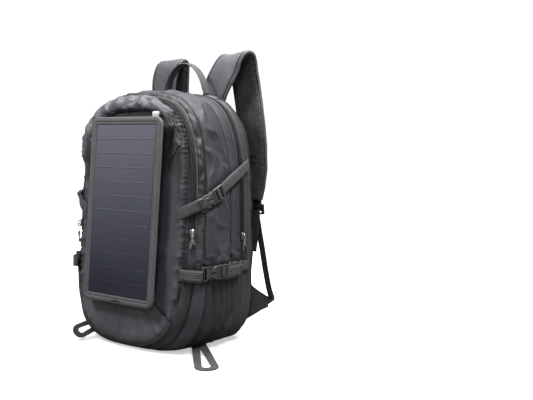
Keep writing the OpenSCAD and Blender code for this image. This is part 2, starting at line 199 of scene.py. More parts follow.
def relief(u, turn):
    """How far the sewn, stuffed fabric stands off the plain body, in millimetres."""
    p = body_point(u, turn)
    x, y, z = p
    side, seed = (1, 3.1) if x > 0 else (-1, 8.4)
    if u > 3:
        return 1.2 * crumple(p, 40, 6)
    corner = 13 * ease((-x - 88) / 34) * ease((z - 318) / 62) * ease((u + 0.6) / 0.5) * ease((1.2 - u) / 0.9)
    if u < 0:
        share = 1 + u
        hidden = ease((1 - abs(x) / 96) * 6) * ease((z - 85) / 30)
        puff = (4.5 - 1.5 * hidden) * (1 - share ** 4)
        fold = 3.0 * crumple((x, y, z * 0.45), 38, 2) + 3.2 * creases((x * 1.3, y, z * 0.5), 44, 5)
        return max(-1, puff + corner + fold * (1 - 0.75 * hidden) * (0.35 + 0.65 * (1 - share ** 6)))
    lower = 1 - ease((z - 60) / 60)
    held = strap_press(y, z)
    wide = crumple((x, y * 0.8 + 0.55 * z, z * 0.5), 46, seed)
    fine = creases((x, y * 1.1 + 0.8 * z, z * 0.7 - 0.5 * y), 40, seed + 2)
    g = gather_step(z)
    top = ease((turn if x > 0 else 180 - turn) / 70) if z > MID_Z else 0
    if u < g:
        value = 2.8 * wide + 3.6 * fine
        value += 2.5 * math.sin(math.pi * clamp01(u / g))
    elif u < TAPE_STEPS[0]:
        value = 0.6 * wide
    elif u < TAPE_STEPS[1]:
        value = 0.2 * wide
    elif u < STRIP_STEP:
        k = (u - TAPE_STEPS[1]) / (STRIP_STEP - TAPE_STEPS[1])
        value = math.sin(math.pi * k) * (2.4 + 3.6 * crumple((x, 1.4 * y, z), 11, seed)
                                         + 2.4 * crumple((x, y, z * 0.6), 24, seed)
                                         - 2.0 * creases((x, y * 1.5, z), 15, seed))
    elif u < GARAGE_STEP:
        k = (u - STRIP_STEP) / (GARAGE_STEP - STRIP_STEP)
        value = math.sin(math.pi * k) * 3.2 + math.sin(math.pi * k) ** 0.5 * (3.2 * wide + 4.2 * fine)
    elif u < 1.95:
        value = 0.5 * wide
    else:
        k = clamp01((u - 1.95) / 0.5)
        value = k * (1.6 * wide + 2.0 * fine)
    if 0.6 < u < 1.9:
        loose = bump(z - 174, 15) * ease((u - 0.6) / 0.2) * ease((1.9 - u) / 0.2) * ease((z - 150) / 8)
        value += loose * (1.5 + 4.2 * crumple((x, y, z * 1.7), 15, seed)
                          - 3.4 * creases((x, y * 0.8, z * 1.5), 19, seed))
    # Puckers where elastic draws the fabric up beside the gathered seam
    pull = bump(u - g, 0.13) * (0.6 + 0.6 * top) * (1 - lower)
    along = z + 0.6 * abs(x) * top + 9 * crumple((side * 40, y, z), 30, 4)
    value += 1.5 * pull * math.sin(along * 2 * math.pi / 10.5) * (1 if u < TAPE_STEPS[0] else 0.2)
    for seam, width in ((TAPE_STEPS[0] - 0.03, 0.03), (TAPE_STEPS[1] + 0.03, 0.03),
                        (STRIP_STEP, 0.03), (GARAGE_STEP, 0.03), (1.96, 0.03)):
        value -= 1.4 * bump(u - seam, width) * (1 - lower)
    value = value * (1 - 0.85 * held) + (2.2 * (1 - 0.7 * held) * lower * ease(u / 0.4))
    if z < 12:
        value *= clamp01(z / 12)
    return value + corner


def skin(u, turn, out=0.0):
    """A point of the finished fabric, out millimetres off it, in metres."""
    p = body_point(u, turn, relief(u, turn) + out)
    p.z = max(p.z, 0.3 if out >= 0 else 0.3 - out)
    return p * MM


def flank_plain(u, z, out=0.0, side=1):
    """A point off the plain body on a side at height z, in metres."""
    turn = turn_at(u, z)
    return body_point(u, turn if side > 0 else 180 - turn, out) * MM


def even_turns(n, start=-90, end=270, u=1.0):
    """Turns that lie evenly along the section's outline."""
    fine = steps(start, end, 1500)
    line = [body_point(u, t) for t in fine]
    length = np.cumsum([0] + [(b - a).length for a, b in zip(line, line[1:])])
    return list(np.interp(np.linspace(0, length[-1], n), length, fine))


def front_point(x, z, out=0.0):
    u, turn = place_on_front(x, z)
    return skin(u, turn, out)


def panel_point(x, y, out):
    """A point in the panel's own frame: across, up its length and out of its face."""
    return Vector((x, FOLD_Y + y * math.sin(LEAN) - out * math.cos(LEAN),
                   PANEL_Z + y * math.cos(LEAN) + out * math.sin(LEAN))) * MM


# ---- Materials -----------------------------------------------------------


class Term:
    """A value that a material's nodes work out. Arithmetic with it makes further nodes."""

    def __init__(self, tree, socket):
        self.tree, self.socket = tree, socket

    def math(self, operation, *others, clamp=False):
        made = self.tree.nodes.new("ShaderNodeMath")
        made.operation, made.use_clamp = operation, clamp
        for slot, value in zip(made.inputs, (self, *others)):
            put(self.tree, slot, value)
        return Term(self.tree, made.outputs[0])

    def __add__(self, other):
        return self.math("ADD", other)

    def __sub__(self, other):
        return self.math("SUBTRACT", other)

    def __mul__(self, other):
        return self.math("MULTIPLY", other)

    def __pow__(self, other):
        return self.math("POWER", other)

    def __abs__(self):
        return self.math("ABSOLUTE")


def put(tree, slot, value):
    """Links a term to a socket, or sets the socket to a number or a colour."""
    if isinstance(value, Term):
        tree.links.new(value.socket, slot)
    else:
        slot.default_value = (*value, 1) if isinstance(value, tuple) else value


def times(tint, share):
    return tuple(c * share for c in tint)


class Shader:
    """A small builder for node materials."""

    def __init__(self, name, rough=0.6, metal=0.0, sheen=0.0, coat=0.0, coat_rough=0.1, specular=0.5):
        self.material = bpy.data.materials.new(name)
        self.material.use_nodes = True
        self.tree = self.material.node_tree
        self.set({"Roughness": rough, "Metallic": metal, "Sheen Weight": sheen, "Sheen Roughness": 0.45,
                  "Coat Weight": coat, "Coat Roughness": coat_rough, "Specular IOR Level": specular})

    def set(self, values):
        for slot, value in values.items():
            put(self.tree, self.tree.nodes["Principled BSDF"].inputs[slot], value)

    def add(self, kind, output=0, values=None, **settings):
        """One output of a new node, with the values of its inputs by their names or numbers."""
        made = self.tree.nodes.new("ShaderNode" + kind)
        for key, value in settings.items():
            setattr(made, key, value)
        for slot, value in (values or {}).items():
            put(self.tree, made.inputs[slot], value)
        return Term(self.tree, made.outputs[output])

    def attribute(self, name, output="Fac"):
        return self.add("Attribute", output, attribute_name=name)

    def axes(self, attribute=None):
        """X, Y and Z of a vector attribute, or of the point itself."""
        made = self.tree.nodes.new("ShaderNodeSeparateXYZ")
        vector = self.attribute(attribute, "Vector") if attribute else self.add("TexCoord", "Object")
        put(self.tree, made.inputs[0], vector)
        return [Term(self.tree, each) for each in made.outputs]

    def noise(self, scale, detail=3.0):
        return self.add("TexNoise", 0, {"Vector": self.add("TexCoord", "Object"), "Scale": scale,
                                        "Detail": detail, "Roughness": 0.55})

    def ramp(self, value, low, high):
        return self.add("MapRange", 0, {0: value, 1: low, 2: high})

    def mix(self, share, a, b):
        return self.add("Mix", 2, {0: share, 6: a, 7: b}, data_type="RGBA")

    def occlusion_shade(self, reach=0.012):
        """Ambient occlusion, 1 in the open and towards 0 deep in folds and under edges; mixed into a colour
        it gives painted shade there.
        """
        return self.add("AmbientOcclusion", "AO", {"Distance": reach}, samples=6) ** 1.6

    def wave(self, coordinate, pitch):
        """Sine of a coordinate in metres, -1 to 1, once every pitch."""
        return (coordinate * (2 * math.pi / pitch)).math("SINE")

    def finish(self, colour, height, depth, rough=None):
        """The material, with its colour and the height and depth in metres of its grain."""
        bumps = self.add("Bump", 0, {"Strength": 1.0, "Distance": depth, "Height": height})
        self.set({"Base Color": colour, "Normal": bumps})
        if rough is not None:
            self.set({"Roughness": rough})
        return self.material


def fabric(name, tint, rough=0.58, weave=0.0011, ripstop=0.0, fade=0.26):
    """Woven nylon. Where the piece's rip attribute is 1 the weave has raised diamonds."""
    s = Shader(name, rough=rough, sheen=0.06, specular=0.38)
    x, y, _ = s.axes("cloth")
    ridges = abs(s.noise(20, 1.5) - 0.5).math("MINIMUM", 0.09)
    height = s.wave(x, weave) * s.wave(y, weave) * 0.35 + ridges * -24.0 + s.noise(55, 1) * 2.4
    shade = s.ramp(s.noise(14, 4), 0.3, 0.72)
    if ripstop:
        diamond = abs(s.wave(x + y, ripstop * 2) * s.wave(x - y, ripstop * 2)) ** 0.6 * s.attribute("rip")
        height = height + diamond * 2.2
        shade = shade + (diamond - 0.35) * 2.4
    shade = shade.math("ADD", (s.noise(900, 2) - 0.5) * 0.8, clamp=True)
    colour = s.mix(shade, times(tint, 1 - fade), times(tint, 1 + fade))
    # Darkened towards 0.3 of the tint where the piece's shade attribute is set: painted shade in the side
    # pockets' mouths and folds, and darker round the foot.
    colour = s.mix(s.attribute("shade"), colour, times(tint, 0.3))
    # Painted shade in folds and under edges, from ambient occlusion.
    colour = s.mix(s.occlusion_shade(), times(tint, 0.12), colour)
    return s.finish(colour, height, 0.00026)


def web(name, tint):
    """Woven strap: fine cross ribs with a raised selvedge; cloth x runs across it and y along it."""
    s = Shader(name, rough=0.62, sheen=0.1, specular=0.35)
    x, y, _ = s.axes("cloth")
    chevron = y + abs(x.math("PINGPONG", 0.0022) - 0.0011)
    height = s.wave(chevron, 0.0021) * 0.6 + s.wave(x, 0.0044) * 0.5
    shade = (height * 0.22).math("ADD", s.ramp(s.noise(260, 3), 0.2, 0.8), clamp=True)
    colour = s.mix(shade, times(tint, 0.66), times(tint, 1.3))
    # Painted shade in grooves and under edges, from ambient occlusion.
    colour = s.mix(s.occlusion_shade(0.008), times(tint, 0.15), colour)
    return s.finish(colour, height, 0.00035)


def air_mesh(name, tint):
    """Spacer mesh: offset rows of small oval holes, painted dark inside as painted shade."""
    s = Shader(name, rough=0.8, sheen=0.2, specular=0.25)
    x, y, _ = s.axes("cloth")
    slant, pitch = y * 0.55, 0.0068
    sunk = s.ramp(s.wave(x + slant, pitch) + s.wave(x - slant, pitch), 0.1, 1.2) * -1.0
    shade = (sunk + 1.0).math("MULTIPLY", s.ramp(s.noise(60, 3), 0.0, 0.7), clamp=True)
    # The holes are painted dark: painted shade in them.
    return s.finish(s.mix(shade, times(tint, 0.14), tint), sunk, 0.0007)


def plastic(name, tint, rough=0.42, grain=1400):
    s = Shader(name, rough=rough, specular=0.45)
    colour = s.mix(s.ramp(s.noise(30, 3), 0.2, 0.8), times(tint, 0.86), times(tint, 1.14))
    # Painted shade in hollows and under edges, from ambient occlusion.
    colour = s.mix(s.occlusion_shade(0.006), times(tint, 0.06), colour)
    return s.finish(colour, s.noise(grain, 2), 0.00006, s.ramp(s.noise(120, 3), -0.6, 1.9) * (rough * 1.8))


def metal(name, tint, rough):
    s = Shader(name, rough=rough, metal=1.0)
    worn = s.noise(300, 4)
    colour = s.mix(s.ramp(worn, 0.35, 0.7), tint, times(tint, 0.6))
    # Painted shade in hollows and under edges, from ambient occlusion.
    colour = s.mix(s.occlusion_shade(0.005), times(tint, 0.02), colour)
    return s.finish(colour, s.noise(900, 2), 0.00003, s.ramp(worn, -0.6, 3.0))


# The span of height over which the panel's painted reflection goes from dark at the foot to grey at the top.
PAINTED_REFLECTION_FADE = (0.12, 0.44)


def cell_glass(name):
    """Laminated cells: deep blue-grey at the foot and greyer towards the top as a painted reflection, with
    fine grid lines.
    """
    s = Shader(name, rough=0.42, coat=0.2, coat_rough=0.3, specular=0.3)
    z = s.axes()[2]
    # Painted reflection: lighter towards the top of the panel.
    base = s.mix(s.ramp(z, *PAINTED_REFLECTION_FADE), (0.010, 0.011, 0.020), (0.128, 0.131, 0.160))
    lines = abs(s.wave(z, 0.0036)) ** 14
    share = lines * 0.10 + s.noise(9, 2) * 0.35 * 0.2
    return s.finish(s.mix(share, base, (0.20, 0.21, 0.27)), s.noise(260, 2), 0.00003)


def cell_backing(name):
    """The film between the cells, a little lighter, with the same painted reflection fading up the panel."""
    s = Shader(name, rough=0.38, coat=0.3, coat_rough=0.25)
    # Painted reflection: lighter towards the top of the panel.
    colour = s.mix(s.ramp(s.axes()[2], *PAINTED_REFLECTION_FADE), (0.040, 0.041, 0.055), (0.25, 0.255, 0.29))
    colour = s.mix(s.noise(120, 3) * 0.3, colour, (0.12, 0.12, 0.15))
    return s.finish(colour, s.noise(400, 2), 0.00004)


def hook_tape(name, tint):
    s = Shader(name, rough=0.75)
    x, _, z = s.axes()
    hooks = s.wave(x, 0.0013) * s.wave(z, 0.0013)
    return s.finish(s.mix(s.ramp(hooks, -0.4, 1.0), times(tint, 0.4), tint), hooks, 0.0006)


def panel_cloth(name, tint):
    """The panel's bound border: matt pebbled fabric, without a need for cloth coordinates."""
    s = Shader(name, rough=0.66, sheen=0.1, specular=0.35)
    x, _, z = s.axes()
    weave = s.wave(x, 0.0016) * s.wave(z, 0.0016)
    height = weave * 0.6 + s.noise(1100, 2) * 0.8
    shade = s.ramp(s.noise(22, 4), 0.3, 0.75).math("ADD", weave * 0.18, clamp=True)
    return s.finish(s.mix(shade, times(tint, 0.84), times(tint, 1.14)), height, 0.0002)


BODY_CLOTH = fabric("body_nylon", (0.060, 0.057, 0.067), ripstop=0.0050, rough=0.44, fade=0.42)
PLAIN_CLOTH = fabric("plain_nylon", (0.086, 0.083, 0.095), rough=0.44, fade=0.3)
BOOT_CLOTH = fabric("boot_nylon", (0.034, 0.033, 0.038), weave=0.0016)
LINING = fabric("lining", (0.020, 0.020, 0.023), rough=0.7)
TAPE = fabric("zipper_tape", (0.014, 0.014, 0.016), weave=0.0014, rough=0.66)
PIPING = fabric("piping", (0.012, 0.012, 0.014), rough=0.5)
EDGE_TAPE = fabric("edge_tape", (0.13, 0.127, 0.14), rough=0.5)
WEBBING = web("webbing", (0.078, 0.076, 0.084))
DARK_WEB = web("dark_webbing", (0.024, 0.024, 0.027))
LOOP_WEB = web("loop_webbing", (0.058, 0.058, 0.068))
MESH_CLOTH = air_mesh("air_mesh", (0.085, 0.084, 0.092))
BUCKLE = plastic("buckle_plastic", (0.068, 0.068, 0.072))
BLACK_PLASTIC = plastic("black_plastic", (0.022, 0.022, 0.024), rough=0.3)
SILVER = metal("zip_silver", (0.93, 0.92, 0.90), rough=0.16)
PULL_CORD = plastic("pull_cord", (0.016, 0.016, 0.017), rough=0.36)
FOAM = plastic("foam_board", (0.035, 0.035, 0.038), rough=0.8, grain=500)
PANEL_CLOTH = panel_cloth("panel_fabric", (0.104, 0.104, 0.110))
PANEL_BACK = panel_cloth("panel_back", (0.048, 0.049, 0.058))
CELLS = cell_glass("cells")
FILM = cell_backing("cell_film")
HOOKS = hook_tape("hook_tape", (0.03, 0.03, 0.032))
WHITE_TAPE = panel_cloth("white_tape", (0.62, 0.62, 0.60))
NET = plastic("flap_net", (0.62, 0.63, 0.65), rough=0.5)
THREAD = plastic("thread", (0.016, 0.016, 0.018), rough=0.6)
LIGHT_THREAD = plastic("light_thread", (0.12, 0.12, 0.13), rough=0.6)


# ---- Mesh tools ----------------------------------------------------------


def new_object(name, points, faces, material, body=None):
    mesh = bpy.data.meshes.new(name)
    mesh.from_pydata([tuple(p) for p in points], [], faces)
    mesh.update()
    mesh.shade_smooth()
    made = bpy.data.objects.new(name, mesh)
    bpy.context.scene.collection.objects.link(made)
    for each in material if isinstance(material, (list, tuple)) else [material]:
        mesh.materials.append(each)
    if body:
        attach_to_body(made, body)
    return made


def set_point_values(made, name, values, kind="FLOAT"):
    attribute = made.data.attributes.new(name, kind, "POINT")
    key = "vector" if kind == "FLOAT_VECTOR" else "value"
    attribute.data.foreach_set(key, np.asarray(values, np.float32).ravel())


def lengths(points):
    """How far along a line each of its points is."""
    return list(np.cumsum([0] + [(b - a).length for a, b in zip(points, points[1:])]))


def grid(name, rows, material, body=None, wrap=False, flip=False, cap_first=False, cap_last=False,
         values=None):
    """A sheet of quads through rows of points, with cloth coordinates in metres along both ways."""
    m, n = len(rows), len(rows[0])
    points = [p for row in rows for p in row]
    columns = n if wrap else n - 1
    faces = []
    for i in range(m - 1):
        for j in range(columns):
            k = (j + 1) % n
            quad = (i * n + j, i * n + k, (i + 1) * n + k, (i + 1) * n + j)
            faces.append(quad if flip else quad[::-1])
    across = lengths(rows[m // 2])
    along = lengths([row[n // 3] for row in rows])
    cloth = [(across[j], along[i], 0.0) for i in range(m) for j in range(n)]
    for wanted, row, turned in ((cap_first, 0, True), (cap_last, m - 1, False)):
        if wanted:
            points.append(sum(rows[row], Vector()) / n)
            cloth.append((0.0, along[row], 0.0))
            hub = len(points) - 1
            for j in range(columns):
                tri = (row * n + j, row * n + (j + 1) % n, hub)
                faces.append(tri if turned != flip else tri[::-1])
    made = new_object(name, points, faces, material, body)
    set_point_values(made, "cloth", cloth, "FLOAT_VECTOR")
    for key, column in (values or {}).items():
        set_point_values(made, key, list(column) + [column[-1]] * (len(points) - m * n))
    return made


def apply_modifiers(made):
    graph = bpy.context.evaluated_depsgraph_get()
    mesh = bpy.data.meshes.new_from_object(made.evaluated_get(graph))
    made.modifiers.clear()
    made.data = mesh
    return made


def thicken(made, thick, offset=-1.0):
    modifier = made.modifiers.new("thickness", "SOLIDIFY")
    modifier.thickness, modifier.offset = thick * MM, offset
    modifier.use_even_offset = False
    return made


def rounded(made, width, segments):
    """Rounds the sharp edges of a piece from the CAD model."""
    modifier = made.modifiers.new("edges", "BEVEL")
    modifier.width, modifier.segments = width, segments
    modifier.limit_method, modifier.angle_limit = "ANGLE", math.radians(35)
    modifier.harden_normals = False


def curve_through(points, n):
    """A smooth line through the points, with n points spread evenly along it."""
    points = [Vector(p) for p in points]
    padded = [2 * points[0] - points[1], *points, 2 * points[-1] - points[-2]]
    fine = []
    for a, b, c, d in zip(padded, padded[1:], padded[2:], padded[3:]):
        for k in range(12):
            t = k / 12
            fine.append(0.5 * (2 * b + (c - a) * t + (2 * a - 5 * b + 4 * c - d) * t * t
                               + (3 * b - a - 3 * c + d) * t ** 3))
    fine.append(points[-1])
    length = lengths(fine)
    wanted = np.linspace(0, length[-1], n)
    axes = [np.interp(wanted, length, [p[i] for p in fine]) for i in range(3)]
    return [Vector(p) for p in zip(*axes)]


def tangents(path):
    last = len(path) - 1
    return [(path[min(i + 1, last)] - path[max(i - 1, 0)]).normalized() for i in range(len(path))]


def tube(name, path, radius, material, body=None, sides=8, closed=False, radii=None):
    """A round cord along a path in metres. Its radius is in millimetres."""
    path = [Vector(p) for p in path]
    if closed:
        n = len(path)
        directions = [(path[(i + 1) % n] - path[i - 1]).normalized() for i in range(n)]
    else:
        directions = tangents(path)
    side = directions[0].orthogonal().normalized()
    rows = []
    for i, (p, t) in enumerate(zip(path, directions)):
        side = (side - t * side.dot(t)).normalized()
        other = t.cross(side)
        r = (radii[i] if radii else radius) * MM
        rows.append([p + r * (math.cos(a) * side + math.sin(a) * other)
                     for a in steps(0, 2 * math.pi * (1 - 1 / sides), sides)])
    if closed:
        rows.append(rows[0])
    made = grid(name, rows, material, body, wrap=True, flip=True, cap_first=not closed, cap_last=not closed)
    if closed:
        weld(made)
    return made


def weld(made, distance=1e-6):
    mesh = bmesh.new()
    mesh.from_mesh(made.data)
    bmesh.ops.remove_doubles(mesh, verts=mesh.verts, dist=distance)
    mesh.to_mesh(made.data)
    mesh.free()


def band_frame(path, across):
    """For each point of a band: its side and face directions."""
    out = []
    for i, t in enumerate(tangents(path)):
        wish = Vector(across[i] if isinstance(across, list) else across)
        side = (wish - t * wish.dot(t)).normalized()
        out.append((side, t.cross(side)))
    return out


def strap(name, path, widths, thick, across, material, body=None, profile=None, wobble=0.0, split=False):
    """A band along a path in metres. The widths and the thickness are in millimetres. The profile lists the
    outline of its section as shares of the half width and the half thickness, anticlockwise."""
    profile = profile or FLAT_PROFILE
    n = len(path)
    rows = []
    for i, (p, (side, face)) in enumerate(zip(path, band_frame(path, across))):
        w = (widths[i] if isinstance(widths, list) else widths) / 2 * MM
        h = thick / 2 * MM
        lift = wobble * MM * crumple(p / MM, 26, 2)
        rows.append([p + side * (a * w) + face * (b * h + lift) for a, b in profile])
    made = grid(name, rows, material, body, wrap=True, flip=True, cap_first=True, cap_last=True)
    along = lengths(path)
    half = (max(widths) if isinstance(widths, list) else widths) / 2 * MM
    cloth = [(a * half, along[i], 0.0) for i in range(n) for a, b in profile]
    cloth += [(0.0, along[0], 0.0), (0.0, along[-1], 0.0)]
    made.data.attributes["cloth"].data.foreach_set("vector", np.asarray(cloth, np.float32).ravel())
    if split:
        count = len(profile)
        inner = [b for a, b in profile]
        for face in made.data.polygons[: (n - 1) * count]:
            j = min(face.vertices) % count
            face.material_index = 1 if inner[j] > 0.55 else 0
    return made


def rounded_profile(n, flat, groove=0.0, groove_at=0.8):
    """An outline for a band: crowned faces and round edges, with a sewn groove near each edge."""
    out = []
    for k in range(n):
        a = 2 * math.pi * (k + 0.5) / n
        x = signed_pow(math.cos(a), 2 / flat)
        y = signed_pow(math.sin(a), 2 / 2.2)
        y *= 1 - groove * bump(abs(x) - groove_at, 0.06)
        out.append((x, y))
    return out


FLAT_PROFILE = [(-1, -0.7), (-0.97, -1), (-0.5, -1), (0, -1), (0.5, -1), (0.97, -1), (1, -0.7),
                (1, 0.7), (0.97, 1), (0.5, 1), (0, 1), (-0.5, 1), (-0.97, 1), (-1, 0.7)]


def stitches(name, lines, material, pitch=4.6, length=3.1, thick=0.42):
    """Rows of thread: short spindles along lines of points in metres."""
    points, faces = [], []
    for line in lines:
        total = lengths(line)
        for k in range(int(total[-1] / (pitch * MM))):
            a, b = [Vector([float(np.interp(at, total, [p[i] for p in line])) for i in range(3)])
                    for at in (min(total[-1], k * pitch * MM + offset) for offset in (0, length * MM))]
            if (b - a).length < 1e-5:
                continue
            t = (b - a).normalized()
            side = t.orthogonal().normalized() * thick * MM
            other = t.cross(side)
            start = len(points)
            points.append(a)
            for share in (0.2, 0.8):
                middle = a.lerp(b, share)
                points += [middle + side, middle + other, middle - side, middle - other]
            points.append(b)
            for j in range(4):
                low, high = start + 1 + j, start + 1 + (j + 1) % 4
                faces += [(high, low, start), (high, high + 4, low + 4, low), (low + 4, high + 4, start + 9)]
    return new_object(name, points, faces, material)


# Fabric below the zippers' ends joins the front section to the rest, so it bends between the two
FOLD = "fold"
SIDES = ((1, "right"), (-1, "left"))


def attach(made, body, slot=None, *nodes):
    """Puts a piece on the body that carries it, or, for fabric that bends at the fold, bakes its transform in
    place; hides its CAD nodes. The slot is not used.
    """
    if body == FOLD:
        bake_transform(made)
    elif body:
        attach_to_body(made, body)
    if nodes:
        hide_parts(*nodes)
    return made


def cord(name, path, radius, body, material=None, sides=6, **more):
    """A tube of piping on a body."""
    return attach(tube(name, path, radius, material or PIPING, sides=sides, **more), body)


def repaint(made, material, *edge):
    """Gives a piece one material, and rounds its edges where a radius is given."""
    made.data.materials.clear()
    made.data.materials.append(material)
    if edge:
        rounded(made, *edge)


def between(table, k):
    """The row of a table at a share k of its length, in proportion between the two next to it."""
    f = k * (len(table) - 1)
    i = min(int(f), len(table) - 2)
    return [a + (b - a) * (f - i) for a, b in zip(table[i], table[i + 1])]


# ---- Camera, light and floor ---------------------------------------------

CAMERA_AT = (1.1447, -1.1561, 0.3953)
CAMERA_AZIMUTH, CAMERA_ELEVATION = math.radians(37.7), math.radians(4.5)


def placed(name, data, at, ahead):
    """A camera or a light that looks along a direction."""
    made = bpy.data.objects.new(name, data)
    bpy.context.scene.collection.objects.link(made)
    made.location = at
    made.rotation_mode = "QUATERNION"
    made.rotation_quaternion = Vector(ahead).to_track_quat("-Z", "Y")
    return made


def make_camera():
    data = bpy.data.cameras.new("camera")
    data.sensor_width, data.lens = 36, 56.74
    back = Vector((math.sin(CAMERA_AZIMUTH) * math.cos(CAMERA_ELEVATION),
                   -math.cos(CAMERA_AZIMUTH) * math.cos(CAMERA_ELEVATION), math.sin(CAMERA_ELEVATION)))
    bpy.context.scene.camera = placed("camera", data, CAMERA_AT, -back)


def area_light(name, place, target, size, power):
    data = bpy.data.lights.new(name, "AREA")
    data.shape, data.size, data.energy = "DISK", size, power
    placed(name, data, place, Vector(target) - Vector(place))


def white_world():
    """White to the camera, and a softer grey sky as a light."""
    world = bpy.data.worlds.new("studio")
    bpy.context.scene.world = world
    world.use_nodes = True
    tree = world.node_tree
    seen = tree.nodes["Background"]
    sky = tree.nodes.new("ShaderNodeBackground")
    for node, strength in ((seen, 1.05), (sky, 0.16)):
        node.inputs[0].default_value, node.inputs[1].default_value = (1, 1, 1, 1), strength
    path, mix = tree.nodes.new("ShaderNodeLightPath"), tree.nodes.new("ShaderNodeMixShader")
    for source, slot in zip((path.outputs["Is Camera Ray"], sky.outputs[0], seen.outputs[0]), mix.inputs):
        tree.links.new(source, slot)
    tree.links.new(mix.outputs[0], tree.nodes["World Output"].inputs[0])


def make_floor():
    """A pale floor that turns to plain white away from the pack, so that no horizon shows."""
    s = Shader("floor", rough=0.7)
    eye = s.add("LightPath", "Is Camera Ray")
    far = s.add("VectorMath", "Value", {0: s.add("NewGeometry", "Position")}, operation="LENGTH")
    glow = s.add("MapRange", 0, {"Value": far, "From Min": 0.15, "From Max": 0.9, "To Min": 0.5,
                                 "To Max": 1.1}, interpolation_type="SMOOTHSTEP")
    s.set({"Emission Color": (1, 1, 1), "Emission Strength": glow * eye,
           "Base Color": s.mix(eye, (0.11, 0.11, 0.11), (0.84, 0.84, 0.84))})
    line = steps(-6.0, 6.0, 5)
    grid("floor", [[Vector((x, y, 0)) for x in line] for y in line], s.material)


def make_studio():
    white_world()
    make_floor()
    area_light("key", (-0.30, -0.85, 1.20), (0, 0, 0.36), 0.35, 15.5)
    area_light("side", (0.80, 0.0, 1.20), (0, 0, 0.36), 0.35, 12.5)
    area_light("top", (0.05, 0.20, 1.6), (0, 0, 0.45), 0.45, 32)
    area_light("front", (1.4, -2.1, 1.3), (0, 0, 0.3), 0.8, 12)
    bpy.context.scene.view_settings.view_transform = "Standard"


# ---- Body of the pack ----------------------------------------------------

SEAM_STEP = step_at(ZIP_Y - 0.5)
ZIP_STEP = step_at(ZIP_Y)
RING = even_turns(401)[:-1]


def rip_at(x, y, z):
    """Where the body's cloth has the raised diamond weave: all but the upper front and the top."""
    front = ease((-40 - y) / 20)
    low = 1 - ease((z - 300 + 0.8 * (abs(x) - 90)) / 60)
    return clamp01(front * low + (1 - front) * 0.75 * (1 - ease((z - 330) / 60)))


def shade_at(x, y, z):
    """Darker round the foot, and painted shade in the open mouths of the side pockets."""
    mouth = 0.9 * bump(z - 158, 10) * ease((abs(x) - 120) / 20) * ease((ZIP_Y - 4 - y) / 14)
    return max(0.75 * (1 - ease((z - 2) / 8)), mouth)


def make_skin(name, levels, body, *nodes, **cap):
    rows = [[skin(u, t) for t in RING] for u in levels]
    values = {key: [value_at(*(p / MM)) for row in rows for p in row]
              for key, value_at in (("rip", rip_at), ("shade", shade_at))}
    made = thicken(grid(name, rows, BODY_CLOTH, wrap=True, values=values, **cap), 2.2)
    attach(made, body, "body_fabric", *nodes)


def make_skins():
    front = steps(-0.96, 0, 34)[:-1] + steps(0, 1, 44)[:-1] + steps(1, SEAM_STEP, 44)
    make_skin("front_skin", front, FOLD, "front_shell", "base_boot", cap_first=True)
    rear = steps(ZIP_STEP, 2, 10)[:-1] + steps(2, 3, 18)[:-1] + steps(3, 3.96, 22)
    make_skin("rear_skin", rear, "pack", "main_shell", cap_last=True)


SHIELD_Z = 150
SHIELD_HALF = (132, 142)
SHIELD_POWER = 2.6


def shield_point(angle, share, out):
    """A point of the shield at an angle from its middle, 0 to the right, and a share of its outline."""
    c, s = math.cos(angle), math.sin(angle)
    reach = (abs(c) / SHIELD_HALF[0]) ** SHIELD_POWER + (abs(s) / SHIELD_HALF[1]) ** SHIELD_POWER
    r = 1 / reach ** (1 / SHIELD_POWER) * share
    return front_point(r * c - 6 * (1 - share), SHIELD_Z + r * s, out)


def make_shield():
    """The smooth curved panel low on the front, sewn over the lower front with piping."""
    angles = steps(math.radians(-150), math.radians(-37), 120)
    shares = [0.34, 0.5, 0.64, 0.76, 0.85, 0.91, 0.95, 0.975, 0.99, 1.0]
    lifts = [0.6, 0.9, 1.2, 1.5, 1.8, 1.9, 1.8, 1.5, 1.1, 0.4]
    rows = [[shield_point(a, k, lift) for a in angles] for k, lift in zip(shares, lifts)]
    made = thicken(grid("front_shield_panel", rows, PLAIN_CLOTH), 0.9, offset=1)
    attach(made, FOLD, "body_fabric", "front_shield")
    # The cut is a curved band: its outline seen straight on, from its half-width and half-height.
    cord("front_shield_piping", [shield_point(a, 1.006, 1.0) for a in angles], 1.9, FOLD, sides=8)
    for tag, a in (("right", angles[-1]), ("left", angles[0])):
        side = [shield_point(a, share, 1.6) for share in steps(0.5, 1.006, 40)]
        cord(f"front_shield_side_{tag}", side, 1.3, FOLD)
    attach(stitches("front_shield_stitches", [[shield_point(a, 0.955, 2.9) for a in angles]], THREAD), FOLD)


def arch_line(u, out, low, n=300):
    """A line out over the fabric at one step, from height low on the right over the top to the left."""
    turns = even_turns(n // 2, turn_at(1, low), 90)
    right, left = [[skin(u, t if side > 0 else 180 - t, out) for t in turns] for side in (1, -1)]
    return right + left[::-1][1:]


def make_seams():
    for name, u, out, low, r, body in (("strip", STRIP_STEP, 0.4, 150, 1.1, FOLD),
                                       ("garage", GARAGE_STEP, 0.4, 150, 1.0, FOLD),
                                       ("rear_edge", 2.45, 0.5, 30, 1.5, "pack")):
        cord(f"{name}_piping", arch_line(u, out, low), r, body)
    cord("zip_edge_piping", arch_line(TAPE_STEPS[1] + 0.015, 0.9, 190), 1.15, FOLD, EDGE_TAPE)
    lines = [arch_line(STRIP_STEP + 0.035, 0.35, 150), arch_line(TAPE_STEPS[0] - 0.035, 0.4, 190)]
    attach(stitches("front_seam_stitches", lines, THREAD), FOLD)
    attach(stitches("rear_seam_stitches", [arch_line(2.3, 0.3, 40)], THREAD), "pack")


